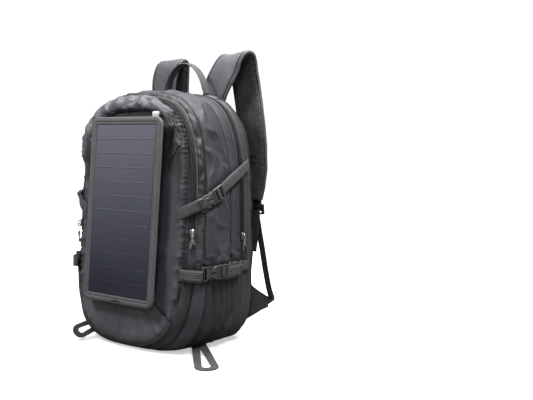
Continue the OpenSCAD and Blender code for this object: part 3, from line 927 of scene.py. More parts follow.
def make_gathers():
    """The elastic edge beside the front zipper, drawn up into small ruffles."""
    rows = []
    for k in (-1, -0.4, 0, 0.4, 1):
        row = []
        for t in even_turns(620, turn_at(1, 120), 180 - turn_at(1, 120)):
            p = body_point(1, t)
            calm = 1 if p.x > 0 else 0.35
            wave = math.sin((p.z + p.x * 0.9) * 2 * math.pi / 7.5 + 3 * crumple(p, 22))
            lift = 1.4 + calm * (1.5 * (1 - abs(k)) + 1.0 * wave * k + 0.7 * crumple(p, 9))
            u = gather_step(p.z) + 0.028 * k + 0.008 * wave
            row.append(skin(u, t, max(0.2, lift) if abs(k) < 1 else 0.1))
        rows.append(row)
    attach(thicken(grid("gathered_edge", rows, BOOT_CLOTH), 0.8, offset=0), FOLD, "body_fabric")


HOOD_TURNS = (60, 163)
# Step and lift across the hood, from its sewn rear edge to the curled hem
HOOD_PROFILE = [(0.385, 0.3), (0.355, 3.8), (0.31, 7.8), (0.25, 10.6), (0.18, 12.0), (0.12, 12.2),
                (0.085, 11.0), (0.065, 9.0), (0.062, 6.4), (0.070, 4.2), (0.085, 2.4)]


def make_hood():
    """The rain hood, rolled up over the panel's head: thin cloth gathered by the elastic in its hem."""
    turns = even_turns(560, *HOOD_TURNS, u=0.0)
    ends = [ease(i / 110) * ease((len(turns) - 1 - i) / 70) for i in range(len(turns))]
    rows = []
    for k in steps(0, 1, 30):
        row = []
        for i, (t, end) in enumerate(zip(turns, ends)):
            u, lift = between(HOOD_PROFILE, k)
            lift *= 0.16 + 0.84 * end
            p = body_point(0, t)
            over = ease((t - 74) / 18) * (1 - k) ** 1.5
            u += 0.24 * over
            lift += 3.4 * over * end * ease(k / 0.03)
            drift = 14 * crumple((p.x, 40 * k, p.z), 34, 1)
            ripple = math.sin((i * 2 * math.pi + drift * 9) / 19)
            ripple *= 0.4 + 0.6 * crumple((p.x, 20 * k, p.z), 50, 2)
            fold = math.sin((i + 44 * k + 3 * drift) * 2 * math.pi / 66)
            amount = ease(k / 0.35) * (0.15 + 0.85 * end)
            lift += amount * (0.8 * ripple + 1.5 * fold + 2.4 * crumple((p.x, 34 * k, p.z), 14, 7)
                              - 3.4 * creases((p.x, 50 * k, p.z), 26, 9))
            u += amount * (0.014 * fold + 0.022 * crumple((p.x, 5, p.z), 30, 3))
            row.append(skin(u, t, max(0.3, lift) - relief(u, t) * 0.5))
        rows.append(row)
    made = thicken(grid("gathered_hood_roll", rows, PLAIN_CLOTH, flip=True), 0.9)
    attach(made, "front_section", "body_fabric", "gathered_hood")
    # As long as its sewn edge on the body, and as wide as its girth from that edge round to the hem.
    hem = []
    for t, end in list(zip(turns, ends))[::2]:
        p = body_point(0, t)
        u = 0.065 * end + 0.022 * crumple((p.x, 5, p.z), 30, 3)
        hem.append(skin(u, t, 0.4 + 2.6 * end + 0.8 * crumple(p, 9) - relief(u, t) * 0.5))
    cord("hood_hem", hem, 1.6, "front_section")


def make_hood_recess():
    """A dark sheet in the recess under the hood, and the ribbed corner patch with its slanting piping."""
    # A dark sheet, in the lining's colour, laid in the recess under the hood.
    rows = [[skin(u, t, 0.7) for t in even_turns(120, 56, 140, u=0.0)] for u in steps(-0.20, 0.05, 10)]
    attach(thicken(grid("hood_recess_dark_sheet", rows, LINING), 0.7, offset=1), "front_section", "lining")
    rows = []
    for u in steps(-0.16, 0.21, 34):
        row = []
        for t in steps(33, 61, 60):
            p = body_point(u, t)
            row.append(skin(u, t, 1.3 + 0.55 * math.sin(2 * math.pi * (p.x * 0.8 + p.z * 0.6) / 5.2)))
        rows.append(row)
    attach(thicken(grid("corner_ribs", rows, BOOT_CLOTH), 0.6, offset=1), "front_section")
    slant = [skin(-0.12 + 0.36 * k, 43 + 9 * k, 2.6) for k in steps(0, 1, 20)]
    cord("corner_rib_piping", slant, 1.4, "front_section")


def tape_strip(name, u1, u2, edges):
    turns = even_turns(240, turn_at(1, ZIP_END), 180 - turn_at(1, ZIP_END))
    rows = [[skin(u, t, 0.2 + (0.25 if 0 < k < edges else 0)) for t in turns]
            for k, u in enumerate(steps(u1, u2, edges + 1))]
    return thicken(grid(name, rows, TAPE), 0.8, offset=1)


COIL_SIZE, COIL_PITCH, COIL_OUT = 1.1, 2.9, 1.3


def coil(name, u, phase, length):
    """One side's coil of a zipper: small rounded loops set across the tape."""
    line, outward, ahead = [arch_line(u + du, COIL_OUT + up, ZIP_END, 700)
                            for du, up in ((0, 0), (0, 3), (0.01, 0))]
    total = lengths(line)
    points, faces = [], []
    for k in range(int(total[-1] / (COIL_PITCH * MM))):
        i = int(np.searchsorted(total, (k + phase) * COIL_PITCH * MM))
        if i >= len(line) - 1:
            break
        n = (outward[i] - line[i]).normalized()
        a = (ahead[i] - line[i]).normalized()
        t = n.cross(a).normalized()
        start = len(points)
        for x, y, z in ((-1, -1, 0), (1, -1, 0), (1, 1, 0), (-1, 1, 0),
                        (-0.8, -0.6, 1), (0.8, -0.6, 1), (0.8, 0.6, 1), (-0.8, 0.6, 1)):
            points.append(line[i] + (a * x * length / 2 + t * y * COIL_SIZE / 2 + n * (z * COIL_SIZE)) * MM)
        faces += [tuple(start + j for j in f) for f in
                  ((3, 2, 1, 0), (4, 5, 6, 7), (0, 1, 5, 4), (1, 2, 6, 5), (2, 3, 7, 6), (3, 0, 4, 7))]
    return new_object(name, points, faces, THREAD)


def make_zippers():
    def tape(name, u1, u2, edges, body):
        strip = tape_strip(f"{name}_zip_tape", u1, u2, edges)
        attach(strip, body, "zipper_tape", f"{name}_zipper_tape")

    middle = sum(TAPE_STEPS) / 2
    tape("front", *TAPE_STEPS, 6, FOLD)
    for tag, u in (("a", middle - 0.012), ("b", middle + 0.012)):
        cord(f"front_zip_cover_{tag}", arch_line(u, 1.3, ZIP_END), 0.75, FOLD)
    attach(coil("front_zip_coil", middle, 0.0, 2.2), FOLD)
    tape("hinged", step_at(ZIP_Y - 9), SEAM_STEP, 3, FOLD)
    tape("rear", ZIP_STEP, step_at(ZIP_Y + 9), 3, "pack")
    attach(coil("hinged_coil", SEAM_STEP - 0.004, 0.0, 2.6), FOLD)
    attach(coil("rear_coil", ZIP_STEP + 0.004, 0.5, 2.6), "pack")
    for name, y, body in (("hinged", ZIP_Y - 9.5, FOLD), ("rear", ZIP_Y + 9.5, "pack")):
        cord(f"{name}_tape_edge", arch_line(step_at(y), 0.7, 190), 0.9, body, EDGE_TAPE)


# ---- Moulded and metal parts ---------------------------------------------


def turn_x(degrees):
    return Matrix.Rotation(math.radians(degrees), 4, "X")


def turn_y(degrees):
    return Matrix.Rotation(math.radians(degrees), 4, "Y")


def turn_z(degrees):
    return Matrix.Rotation(math.radians(degrees), 4, "Z")


UPRIGHT = turn_z(90) @ turn_x(90)
MIRROR = Matrix.Diagonal((-1, 1, 1, 1))


def on_side(place, side):
    """A placement in metres, mirrored to the left where side is below 0."""
    return (MIRROR if side < 0 else Matrix.Identity(4)) @ place


def side_place(y, z, out, pitch=0, yaw=0):
    """Local X towards the rear, Y up and Z outward on the right side."""
    x = flank_plain(step_at(y), z).x
    return (Matrix.Translation(Vector((x + out * MM, y * MM, z * MM))) @ turn_z(-yaw)
            @ turn_x(pitch) @ UPRIGHT)


def edge_place(u, z, out):
    return Matrix.Translation(flank_plain(u, z, out)) @ turn_z(90 * (min(u, 1) - 1)) @ UPRIGHT


def arc_points(cx, cy, r, a, b, n):
    return [(cx + r * math.cos(math.radians(t)), cy + r * math.sin(math.radians(t))) for t in steps(a, b, n)]


def moulded(name, outlines, low, high, place, material, body, edge=0.7, resolution=2):
    """A plate with rounded edges cut to outlines in millimetres, of which all but the first are holes."""
    data = bpy.data.curves.new(name, "CURVE")
    data.dimensions, data.fill_mode = "2D", "BOTH"
    data.extrude = ((high - low) / 2 - edge) * MM
    data.bevel_depth, data.bevel_resolution, data.offset = edge * MM, resolution, -edge * MM
    for outline in outlines:
        turns = sum(a[0] * b[1] - a[1] * b[0] for a, b in zip(outline, outline[1:] + outline[:1]))
        outline = outline if turns > 0 else outline[::-1]
        spline = data.splines.new("POLY")
        spline.points.add(len(outline) - 1)
        for point, (x, y) in zip(spline.points, outline):
            point.co = (x * MM, y * MM, 0, 1)
        spline.use_cyclic_u = True
    curve = bpy.data.objects.new(name, data)
    bpy.context.scene.collection.objects.link(curve)
    mesh = bpy.data.meshes.new_from_object(curve.evaluated_get(bpy.context.evaluated_depsgraph_get()))
    bpy.data.objects.remove(curve)
    bpy.data.curves.remove(data)
    made = bpy.data.objects.new(name, mesh)
    mesh.name = name
    bpy.context.scene.collection.objects.link(made)
    weld(made, 1e-5)
    set_point_values(made, "cloth", [(v.co.y, v.co.x, 0) for v in mesh.vertices], "FLOAT_VECTOR")
    mesh.transform(Matrix.Translation((0, 0, (low + high) / 2 * MM)))
    mesh.transform(place)
    if place.determinant() < 0:
        mesh.flip_normals()
    mesh.materials.clear()
    mesh.materials.append(material)
    mesh.shade_smooth()
    modifier = made.modifiers.new("normals", "WEIGHTED_NORMAL")
    modifier.keep_sharp = False
    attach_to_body(made, body)
    return made


def both_ways(points):
    """An outline drawn for Y above 0, closed by its mirror image."""
    return points + [(x, -y) for x, y in points[::-1]]


def box_outline(x0, x1, half, r=1.0):
    out = []
    for cx, cy, a in ((x1 - r, half - r, 0), (x0 + r, half - r, 90), (x0 + r, -half + r, 180),
                      (x1 - r, -half + r, 270)):
        out += arc_points(cx, cy, r, a, a + 90, 4)
    return out


BUCKLE_SHARE = 0.77
SOCKET = both_ways([(0, 0.01), (0, 15.6), (-1.2, 16.4), (-3.5, 16.0), (-6.5, 14.2), (-9, 12.2), (-12, 11.0),
                    (-17, 10.8), (-21, 11.8), (-23.5, 14.0), (-25, 16.2), (-27, 17), (-32, 17),
                    (-33.6, 16), (-34, 14), (-34, 0.01)])
PRONG = [(1.5, 7.2), (-6, 8.4), (-12, 11.6), (-15, 12.2), (-19.5, 12.2), (-21.5, 13.4), (-20.8, 15.2),
         (-18, 16.2), (-13, 16.0), (-8, 14.0), (-3, 12.2), (1.5, 11.6)]
LADDER = both_ways([(0.6, 0.01), (0.6, 14.6), (1.6, 16.0), (5, 16.9), (23, 16.9), (25.6, 16), (26.5, 14),
                    (26.5, 0.01)])
BAR_LOOP = [(12.9, 0, 9.6), (15.6, 0, 9.2), (17.0, 0, 7.0), (17.0, 0, 4.2), (15.4, 0, 2.8), (10.6, 0, 2.8),
            (9.0, 0, 4.2), (9.0, 0, 7.0), (10.4, 0, 9.2), (12.9, 0, 9.6)]


def narrowed(*outlines):
    return [[(x, y * BUCKLE_SHARE) for x, y in outline] for outline in outlines]


def make_buckle(level, place, tag):
    """A side-release buckle: its socket on the front section, and its ladder and prongs on the clip."""
    name, clip = f"{level}_{tag}", f"{level}_clip_{tag}"
    outlines = narrowed(SOCKET, box_outline(-31.5, -27.6, 13.4), box_outline(-16, -5.5, 1.3, 0.9))
    socket = moulded(f"{name}_socket", outlines, 0.8, 9.4, place, BUCKLE, "front_section", 1.3, resolution=3)
    if tag == "right":
        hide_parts(f"{level}_buckle_sockets")
    outlines = narrowed(LADDER, box_outline(6.2, 10.6, 13.4), box_outline(15.6, 20.4, 13.4))
    ladder = moulded(f"{name}_ladder", outlines, 3.6, 8.8, place, BUCKLE, clip, 1.1, resolution=3)
    attach(ladder, None, "buckle_plastic", clip)
    for end, outline in (("up", PRONG), ("down", [(x, -y) for x, y in PRONG])):
        moulded(f"{name}_prong_{end}", narrowed(outline), 2.8, 7.6, place, BUCKLE, clip, edge=1.0)
    moulded(f"{name}_guide", [box_outline(-14, 1.5, 1.9)], 3.2, 6.8, place, BUCKLE, clip, edge=0.6)
    path = [place @ (Vector(p) * MM) for p in curve_through(BAR_LOOP, 30)]
    across = place.to_3x3() @ Vector((0, 1, 0))
    strap(f"{name}_bar_loop", path, WEB_W, 1.3, across, WEBBING, clip)


BUCKLE_YAW = 8
# Of the two straps on a side: where the buckle is, its tilt and its height off the body; the heights of the
# front webbing and of its folded end; where these and the sewn box start; the rear webbing's height and end
STRAPS = (("upper", UPPER_AT, UPPER_PITCH, 2.6, (0.8, 2.8, 8.6), (2.8, 11.2), (-78, -60, -76, -63), 2.0, 126),
          ("lower", LOWER_AT, 0, 9.8, (8.6, 10.6, 15.2), (10.6, 17.4), (-52, -44, -51, -45), 10.0, 104))


def on_strap(at, pitch, s, w, out, side):
    """A point of a strap on a side: s along it from the buckle's place, w across it."""
    y = at[0] + s * math.cos(pitch) - w * math.sin(pitch)
    z = at[1] + s * math.sin(pitch) + w * math.cos(pitch)
    over = FRONT_Y + FRONT_R - y
    u = max(0, 1 - over / (FRONT_R * math.pi / 2)) if over > 0 else step_at(y)
    return flank_plain(u, z, out, side)


def web_piece(name, at, pitch, outs, a, b, side, n=26):
    """Webbing along a side, from local distance a to b of the buckle's place."""
    rows = []
    for s in steps(a, b, n):
        k = (s - a) / (b - a) * (len(outs) - 1)
        i = min(int(k), len(outs) - 2)
        out = outs[i] + (outs[i + 1] - outs[i]) * ease(k - i)
        rows.append([on_strap(at, pitch, s, w * WEB_W / 2, out, side) for w in (-1, -0.5, 0, 0.5, 1)])
    made = thicken(grid(name, rows, WEBBING, flip=side < 0), WEB_T, offset=1)
    return made


def tack(name, at, pitch, out, s0, s1, side):
    """A sewn box with a cross in it."""
    h = WEB_W / 2 - 2.5
    corners = [(s0, -h), (s1, -h), (s1, h), (s0, h), (s0, -h), (s1, h)]
    lines = [[on_strap(at, pitch, a[0] + (b[0] - a[0]) * k, a[1] + (b[1] - a[1]) * k, out, side)
              for k in steps(0, 1, 8)] for a, b in zip(corners, corners[1:])]
    lines.append([on_strap(at, pitch, s0 + (s1 - s0) * k, h - 2 * h * k, out, side) for k in steps(0, 1, 8)])
    return stitches(name, lines, LIGHT_THREAD, pitch=2.6, length=1.9, thick=0.34)


def make_compression_straps():
    for side, tag in SIDES:
        for level, at, pitch, stand, outs, fold_outs, (start, fold_start, *box), near, end in STRAPS:
            make_buckle(level, on_side(side_place(*at, stand, math.degrees(pitch), BUCKLE_YAW), side), tag)
            front = web_piece(f"{level}_front_web_{tag}", at, pitch, outs, start, -22.5, side)
            attach(front, "front_section")
            fold = web_piece(f"{level}_front_fold_{tag}", at, pitch, fold_outs, fold_start, -22.5, side)
            attach(fold, "front_section")
            attach(tack(f"{level}_front_tack_{tag}", at, pitch, outs[0] + 2.4, *box, side), "front_section")
            rear_outs = [near, near, 0.6 * near + 0.8, 2.2, 2.0]
            rear = web_piece(f"{level}_rear_web_{tag}", at, pitch, rear_outs, 13, end, side, n=40)
            # It bends between the clip on the front section and its seam on the pack
            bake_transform(rear)
            if side > 0:
                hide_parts(f"{level}_front_webbing")
                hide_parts(f"{level}_rear_webbing")
            clip, tail_outs = f"{level}_clip_{tag}", [near + 7.6, near + 6.4, near + 4.6, near + 2.6]
            attach(web_piece(f"{level}_tail_{tag}", at, pitch, tail_outs, 17, end - 34, side, n=30), clip)
            attach(tack(f"{level}_rear_tack_{tag}", at, pitch, near + 5.0, end - 47, end - 37, side), clip)


PIN_Y, PIN_Z = -4.4, 5.6
SLIDER = both_ways([(6.4, 0.01), (6.2, 2.6), (4.6, 4.2), (1.5, 4.4), (-3.0, 3.0), (-6.2, 2.9), (-7, 1.8),
                    (-7, 0.01)])
SLIDER_ARCH = [(0, 4.8, 2.6), (0, 4.2, 4.4), (0, 1.5, 5.8), (0, -2, 6.6), (0, -5.6, 6.9), (0, -6.6, 5.6),
               (0, -6.4, 2.6)]
PULL_PLATE = [(1.5, 0.4), (1.9, -3), (3.4, -8), (4.6, -12.2), (3.9, -14.2), (2.2, -14.4), (1.1, -12.8)]
PULL_BLADE = [(1.1, 0.5), (1.5, -3), (1.2, -6), (0.5, -7.4)]


def make_pull(kind, place, tag, length):
    """A zipper's slider with its arch, and the pull that hangs from it: ring, plate, blade and cord."""
    name, slider, pull = f"{kind}_{tag}", f"{kind}_slider_{tag}", f"{kind}_pull_{tag}"

    def mirrored(points, *middle):
        return [*points, *middle, *((-x, y) for x, y in points[::-1])]

    def at(x, y, z):
        return place @ (Vector((x, PIN_Y + y, PIN_Z + z)) * MM)

    shell = moulded(f"{name}_slider_shell", [SLIDER], 0, 3, place @ turn_z(90), SILVER, slider, edge=0.9)
    attach(shell, None, "zip_metal", slider)
    arch = [place @ (Vector(q) * MM) for q in curve_through(SLIDER_ARCH, 26)]
    tube(f"{name}_slider_arch", arch, 0.85, SILVER, slider)
    ring = [at(0, 2.1 * math.sin(a), 2.1 * math.cos(a)) for a in steps(0, 2 * math.pi * 15 / 16, 16)]
    first = tube(f"{name}_pull_ring", ring, 0.75, SILVER, pull, closed=True)
    attach(first, None, "zip_metal", pull)
    plate_at = place @ Matrix.Translation(Vector((0, PIN_Y - 2.0, PIN_Z)) * MM)
    outlines = [mirrored(PULL_PLATE, (0, -12.3)), arc_points(0, -4.2, 0.75, 0, 330, 10)]
    outlines += [arc_points(x, -10.6, 1.35, 0, 330, 10) for x in (-2, 2)]
    moulded(f"{name}_pull_plate", outlines, -0.8, 0.8, plate_at, SILVER, pull, edge=0.5)
    blade_at = plate_at @ Matrix.Translation(Vector((-2.6, -14.2, 0)) * MM) @ turn_z(-12)
    moulded(f"{name}_pull_blade", [mirrored(PULL_BLADE)], -0.7, 0.7, blade_at, SILVER, pull, edge=0.4)
    end = -length
    half = [(0, -13.6, 0.9), (1.0, -16, 1.3), (1.9, -21, 1.0), (2.5, end + 9, 0.3), (2.6, end + 5, 0),
            (1.6, end + 1.6, 0)]
    loop = half + [(0, end + 0.7, 0)] + [(-x, y, -z) for x, y, z in half[::-1]]
    path = [at(*p) for p in curve_through(loop, 60)]
    tube(f"{name}_pull_cord", path + [path[0]], 0.95, PULL_CORD, pull)
    grip = [at(0, y, 0) for y in steps(-15.5, -21.5, 8)]
    tube(f"{name}_pull_grip", grip, 1, PULL_CORD, pull, sides=12, radii=[1.7, 2.3, *[2.5] * 4, 2.3, 1.7])


def make_pulls():
    for side, tag in SIDES:
        make_pull("front", on_side(edge_place(0.49, 222, 1.8), side), tag, 34)
        make_pull("main", on_side(side_place(ZIP_Y, 206, 1.8), side), tag, 39)


# ---- Side pockets --------------------------------------------------------

POCKET_STEPS = (0.30, step_at(ZIP_Y - 2))
POCKET_Z = (5, 151)
# Of each pleat: its middle, depth and width, from the front seam at 0 to the rear seam at 1
PLEATS = ((0.20, 1.9, 0.014), (0.42, 2.2, 0.014), (0.54, 4.2, 0.030), (0.63, 3.2, 0.026), (0.71, 2.8, 0.022),
          (0.79, 2.2, 0.022))


def pocket_point(a, b, side, lift=0.0):
    """The pocket's cloth: a goes from its front seam to its rear seam and b up to its hem."""
    u = POCKET_STEPS[0] + (POCKET_STEPS[1] - POCKET_STEPS[0]) * a
    z = POCKET_Z[0] + (POCKET_Z[1] + 2.5 * math.sin(math.pi * a) - POCKET_Z[0]) * b
    swell = 9.8 * math.sin(math.pi * a) ** 0.55 * math.sin(math.pi / 2 * min(1, 0.04 + b * 3)) ** 0.7
    swell *= 1 - 0.36 * b
    z += (9 * ease((a - 0.55) / 0.25) - 5 * bump(a - 0.40, 0.14)) * ease((b - 0.5) / 0.5)
    p = Vector((a * 150, b * 150, side * 40))
    free = min(1, a / 0.06, (1 - a) / 0.06)
    pleats = 0.0
    for centre, depth, width in PLEATS:
        drift = centre + 0.035 * (1 - b) * (centre - 0.3) * 3
        strength = 1 if centre < 0.5 else ease((b - 0.30) / 0.5)
        pleats -= depth * strength * bump(a - drift, width)
    diagonal = a - 0.52 - 0.55 * b
    pleats -= 2.6 * bump(diagonal, 0.05) * ease((0.62 - b) / 0.2) * ease((b - 0.02) / 0.1)
    gather = 1.3 * ease((b - 0.72) / 0.28) * math.sin(a * 2 * math.pi * 11 + 2 * crumple(p, 30))
    soft = 2.2 * crumple((p.x * 1.2, p.y * 0.6, p.z), 34, 4) + 1.5 * creases((p.x, p.y * 0.8, p.z), 40, 9)
    out = 0.8 + swell + free * (pleats + gather + soft * math.sin(math.pi * min(1, b * 1.1 + 0.05)))
    held = bump((z - LOWER_AT[1]), 13) * ease((0.78 - a) / 0.1)
    out = min(out, 9.6 - 0.8 * held) + lift
    return flank_plain(u, z, max(out, 0.5 + lift), side)


def make_side_pockets():
    across, up = steps(0, 1, 130), steps(0, 1, 70)
    band = [0.9 * (ease((a - 0.20) / 0.02) * ease((0.42 - a) / 0.02)) + 0.15 for b in up for a in across]
    # Painted shade along the pocket's diagonal fold and in the pleats whose middles are listed here.
    dark = (0.555, 0.64, 0.715, 0.79)
    shade = [clamp01(0.75 * bump(a - 0.56 - 0.55 * b, 0.045) * ease((0.6 - b) / 0.2)
                     + 0.6 * sum(bump(a - c, 0.016) for c in dark) * ease((b - 0.35) / 0.4))
             for b in up for a in across]
    for side, tag in SIDES:
        rows = [[pocket_point(a, b, side) for a in across] for b in up]
        made = grid(f"side_pocket_cloth_{tag}", rows, BODY_CLOTH, flip=side > 0,
                    values={"rip": band, "shade": shade})
        attach(thicken(made, 1.0, offset=1), FOLD, "body_fabric", f"side_pocket_{tag}")
        hem = [pocket_point(a, 0.99 + 0.02 * crumple((a * 150, 3, side), 9), side, 0.9) for a in across]
        fat = [2.4 + 1.5 * crumple((a * 150, side * 9, 1), 8) for a in across]
        cord(f"side_pocket_hem_{tag}", hem, 1.9, FOLD, PLAIN_CLOTH, sides=10, radii=fat)
        for end, a in (("front", 0.0), ("rear", 1.0)):
            cord(f"side_pocket_{end}_seam_{tag}", [pocket_point(a, b, side, 0.3) for b in up], 1.4, FOLD)
        lines = [[pocket_point(a, 0.955, side, 1.1) for a in across]]
        lines += [[pocket_point(a, b, side, 1.05) for b in up] for a in (0.185, 0.215, 0.405, 0.435)]
        attach(stitches(f"side_pocket_stitches_{tag}", lines, THREAD), FOLD)


# ---- Shoulder straps, adjusters and handle -------------------------------

SHOULDER_W, SHOULDER_T = 68, 10
# Points along each pad, with its width there as a share. Below the shoulders the two run alike
SHOULDER_LOW = [(109, 146, 320, 0.9), (111, 146, 290, 0.7), (113, 145, 264, 0.45)]
SHOULDER_RIGHT = [(46, 95, 462, 0.85), (55, 96, 488, 0.95), (70, 99, 515, 1), (84, 105, 538, 1),
                  (91, 116, 547, 1), (91, 128, 540, 1), (90, 137, 514, 1), (95, 142, 470, 1),
                  (101, 144, 420, 1), (106, 145, 370, 1), *SHOULDER_LOW]
SHOULDER_LEFT = [(84, 95, 455, 0.85), (91, 96, 482, 0.95), (90, 99, 512, 1), (84, 105, 535, 1),
                 (83, 116, 543, 1), (87, 128, 536, 1), (94, 137, 510, 1), (99, 142, 470, 1),
                 (101, 144, 420, 1), (105, 145, 370, 1), *SHOULDER_LOW]
ADJUSTER = [(114, 146, 246), (114.5, 146, 233), (118, 148, 205), (124, 150, 170), (131, 151, 130),
            (140, 150, 95), (149, 147, 74), (153, 141, 65)]
ADJUSTER_TAIL = [(114, 140, 245), (114, 140, 233), (113, 138, 200), (108, 137, 168)]


def sided(points, side):
    return [Vector((side * p[0], p[1], p[2])) * MM for p in points]


def make_shoulder_pad(side, tag, points):
    path = curve_through(sided(points, side), 130)
    rough, fine = lengths(sided(points, side)), lengths(path)
    shares = np.interp([s * rough[-1] / fine[-1] for s in fine], rough, [p[3] for p in points])
    widths = [SHOULDER_W * float(share) for share in shares]
    across = (1, 0, 0.17 if side > 0 else 0.06)
    made = strap(f"shoulder_strap_pad_{tag}", path, widths, SHOULDER_T, across, [PLAIN_CLOTH, MESH_CLOTH],
                 "pack", profile=rounded_profile(44, 9, groove=0.42, groove_at=0.84), wobble=0.7, split=True)
    attach(made, None, "body_fabric", f"shoulder_strap_{tag}")
    frames = band_frame(path, across)

    def along(share, depth, ends):
        """A line along the pad, at shares of its half-width and of its half-thickness."""
        return [p + s * (share * w / 2 * MM) - f * (SHOULDER_T / 2 * depth) * MM
                for p, (s, f), w in zip(path, frames, widths)][ends:-ends]

    lines = [along(k * share, depth, 3) for k in (-1, 1) for share, depth in ((0.84, 0.62), (0.93, 0.5))]
    attach(stitches(f"shoulder_strap_stitches_{tag}", lines, THREAD), "pack")
    for end, k in (("a", -1), ("b", 1)):
        cord(f"shoulder_strap_seam_{tag}_{end}", along(k * 0.80, 0.62, 2), 0.75, "pack")
    for name, i in (("bar", len(path) - 26), ("bar_low", len(path) - 30)):
        p, (s, f), w = path[i], frames[i], widths[i]
        bar = [p + s * (k * 0.36 * w / 2 * MM) + f * (SHOULDER_T / 2 + 0.2) * MM for k in steps(-1, 1, 9)]
        cord(f"shoulder_strap_{name}_{tag}", bar, 1.3, "pack", DARK_WEB, sides=8)
    x, _, z, _ = points[0]
    root = sided([(x, 92, z - 16), (x, 93, z + 2)], side)
    strap(f"shoulder_strap_root_{tag}", root, 60, 4, (1, 0, 0), PLAIN_CLOTH, "pack",
                  profile=rounded_profile(24, 8))


def make_shoulder_straps():
    for (side, tag), points in zip(SIDES, (SHOULDER_RIGHT, SHOULDER_LEFT)):
        make_shoulder_pad(side, tag, points)
        repaint(NODES[f"ladder_lock_{tag}"], BLACK_PLASTIC, 0.0012, 3)
        holder = sided([(113, 145, 268), (113.6, 145, 256), (114, 145.6, 243)], side)
        strap(f"lock_holder_{tag}", holder, 25, 3.4, (1, 0, 0), DARK_WEB, "pack")
        for name, route, across, nodes in (
                ("adjuster", ADJUSTER, (side, -0.5, 0.1), [f"adjuster_webbing_{tag}"]),
                ("adjuster_tail", ADJUSTER_TAIL, (1, 0, 0), [])):
            path = curve_through(sided(route, side), 60)
            attach(strap(f"{name}_{tag}", path, 24, WEB_T, across, DARK_WEB, "pack"), None, "webbing", *nodes)
        tip = sided([(108.4, 137, 172), (107.6, 137, 164)], side)
        strap(f"adjuster_tip_{tag}", tip, 25, 4.4, (1, 0, 0), DARK_WEB, "pack",
              profile=rounded_profile(20, 6))


# Of the wings from the body out to the adjusters: how far out and back, and the foot and head of the cloth
WING = [(132, BACK_Y - 4, 38, 116), (140, BACK_Y + 12, 46, 100), (146, BACK_Y + 30, 54, 86),
        (152, 134, 58, 75)]


def make_corner_wings():
    """Triangles of cloth from the rear edge of the body to the adjusters."""
    for side, tag in SIDES:
        rows = []
        for k in steps(0, 1, 26):
            x, y, low, high = between(WING, k)
            rows.append([Vector((side * (x + 1.6 * crumple((y, z, 3), 24)), y, z)) * MM
                         for z in steps(low, high, 16)])
        made = thicken(grid(f"corner_wing_cloth_{tag}", rows, BOOT_CLOTH, "pack"), 2.4, offset=0)
        attach(made, None, "boot_fabric", f"corner_wing_{tag}")
        for name, j in (("top", -1), ("low", 0)):
            cord(f"corner_wing_{name}_edge_{tag}", [row[j] for row in rows], 1.7, "pack")


def make_handle():
    angles = steps(0, math.pi, 70)
    path = [Vector((53 * math.cos(a) * (1 - 0.12 * math.sin(a)), 66, 470.5 + 62 * math.sin(a))) * MM
            for a in angles]
    widths = [min(17 + 3 * abs(math.cos(a)), 13 + 40 * math.sin(a)) for a in angles]
    made = strap("grab_handle_web", path, widths, 3, (0, 1, 0), WEBBING, "handle",
                 profile=rounded_profile(20, 5))
    attach(made, None, "webbing", "grab_handle")
    frames = band_frame(path, (0, 1, 0))
    lines = [[p + s * (k * 5.6 * MM) + f * 1.5 * MM * face for p, (s, f) in zip(path, frames)][4:-4]
             for k in (-1, 1) for face in (-1, 1)]
    attach(stitches("grab_handle_stitches", lines, THREAD), "handle")
    # The handle's ends are sewn on at the top of the rear edge, where the step is worked out on from 2
    levels = [step_at(y) if y < 66 else 2 + (y - 66) / 30 for y in steps(56, 76, 8)]
    for side, tag in SIDES:
        rows = [[skin(u, 90 - side * a, 0.9) for a in steps(10, 19, 8)] for u in levels]
        thicken(grid(f"handle_patch_{tag}", rows, WEBBING, "pack", flip=side > 0), 1.2, offset=1)


def teardrop(length, root, tip, band, hole_at):
    """A flat loop's outline and its hole: its length, its width at the root and the tip, and its band's."""
    r, h = tip / 2, (tip - band) / 2
    outer = [(0, -root / 2)] + arc_points(length - r, 0, r, -88, 88, 22) + [(0, root / 2)]
    inner = [(hole_at, -1)] + arc_points(length - r - 2, 0, h, -80, 80, 14) + [(hole_at, 1)]
    return [outer, inner]


def make_lash_loops():
    right = Matrix.Translation((0.100, -0.014, 0.0062)) @ turn_z(-42) @ turn_y(2)
    left = Matrix.Translation((-0.104, -0.048, 0.034)) @ turn_z(-98) @ turn_y(14) @ turn_x(-50)
    for tag, place, sizes in (("right", right, (170, 26, 42, 26, 50)), ("left", left, (84, 22, 30, 18, 22))):
        made = moulded(f"lash_loop_web_{tag}", teardrop(*sizes), 0, 2, place, LOOP_WEB, "pack", edge=0.5)
        attach(made, None, "webbing", f"lash_loop_{tag}")


# ---- Back ----------------------------------------------------------------

PAD_FACE = BACK_Y + 0.4
PAD_CORNER, PAD_THICK, PAD_CAP = 18, 7, 5.0
# Size and height of a pad's outline, as shares, from the middle of its flat side to that of its face
PAD_PROFILE = [(0.02, 0), (0.5, 0), (0.8, 0), (1, 0), (1.0, 0.45), (0.965, 0.8), (0.9, 1), (0.6, 1), (0.3, 1),
               (0.02, 1)]


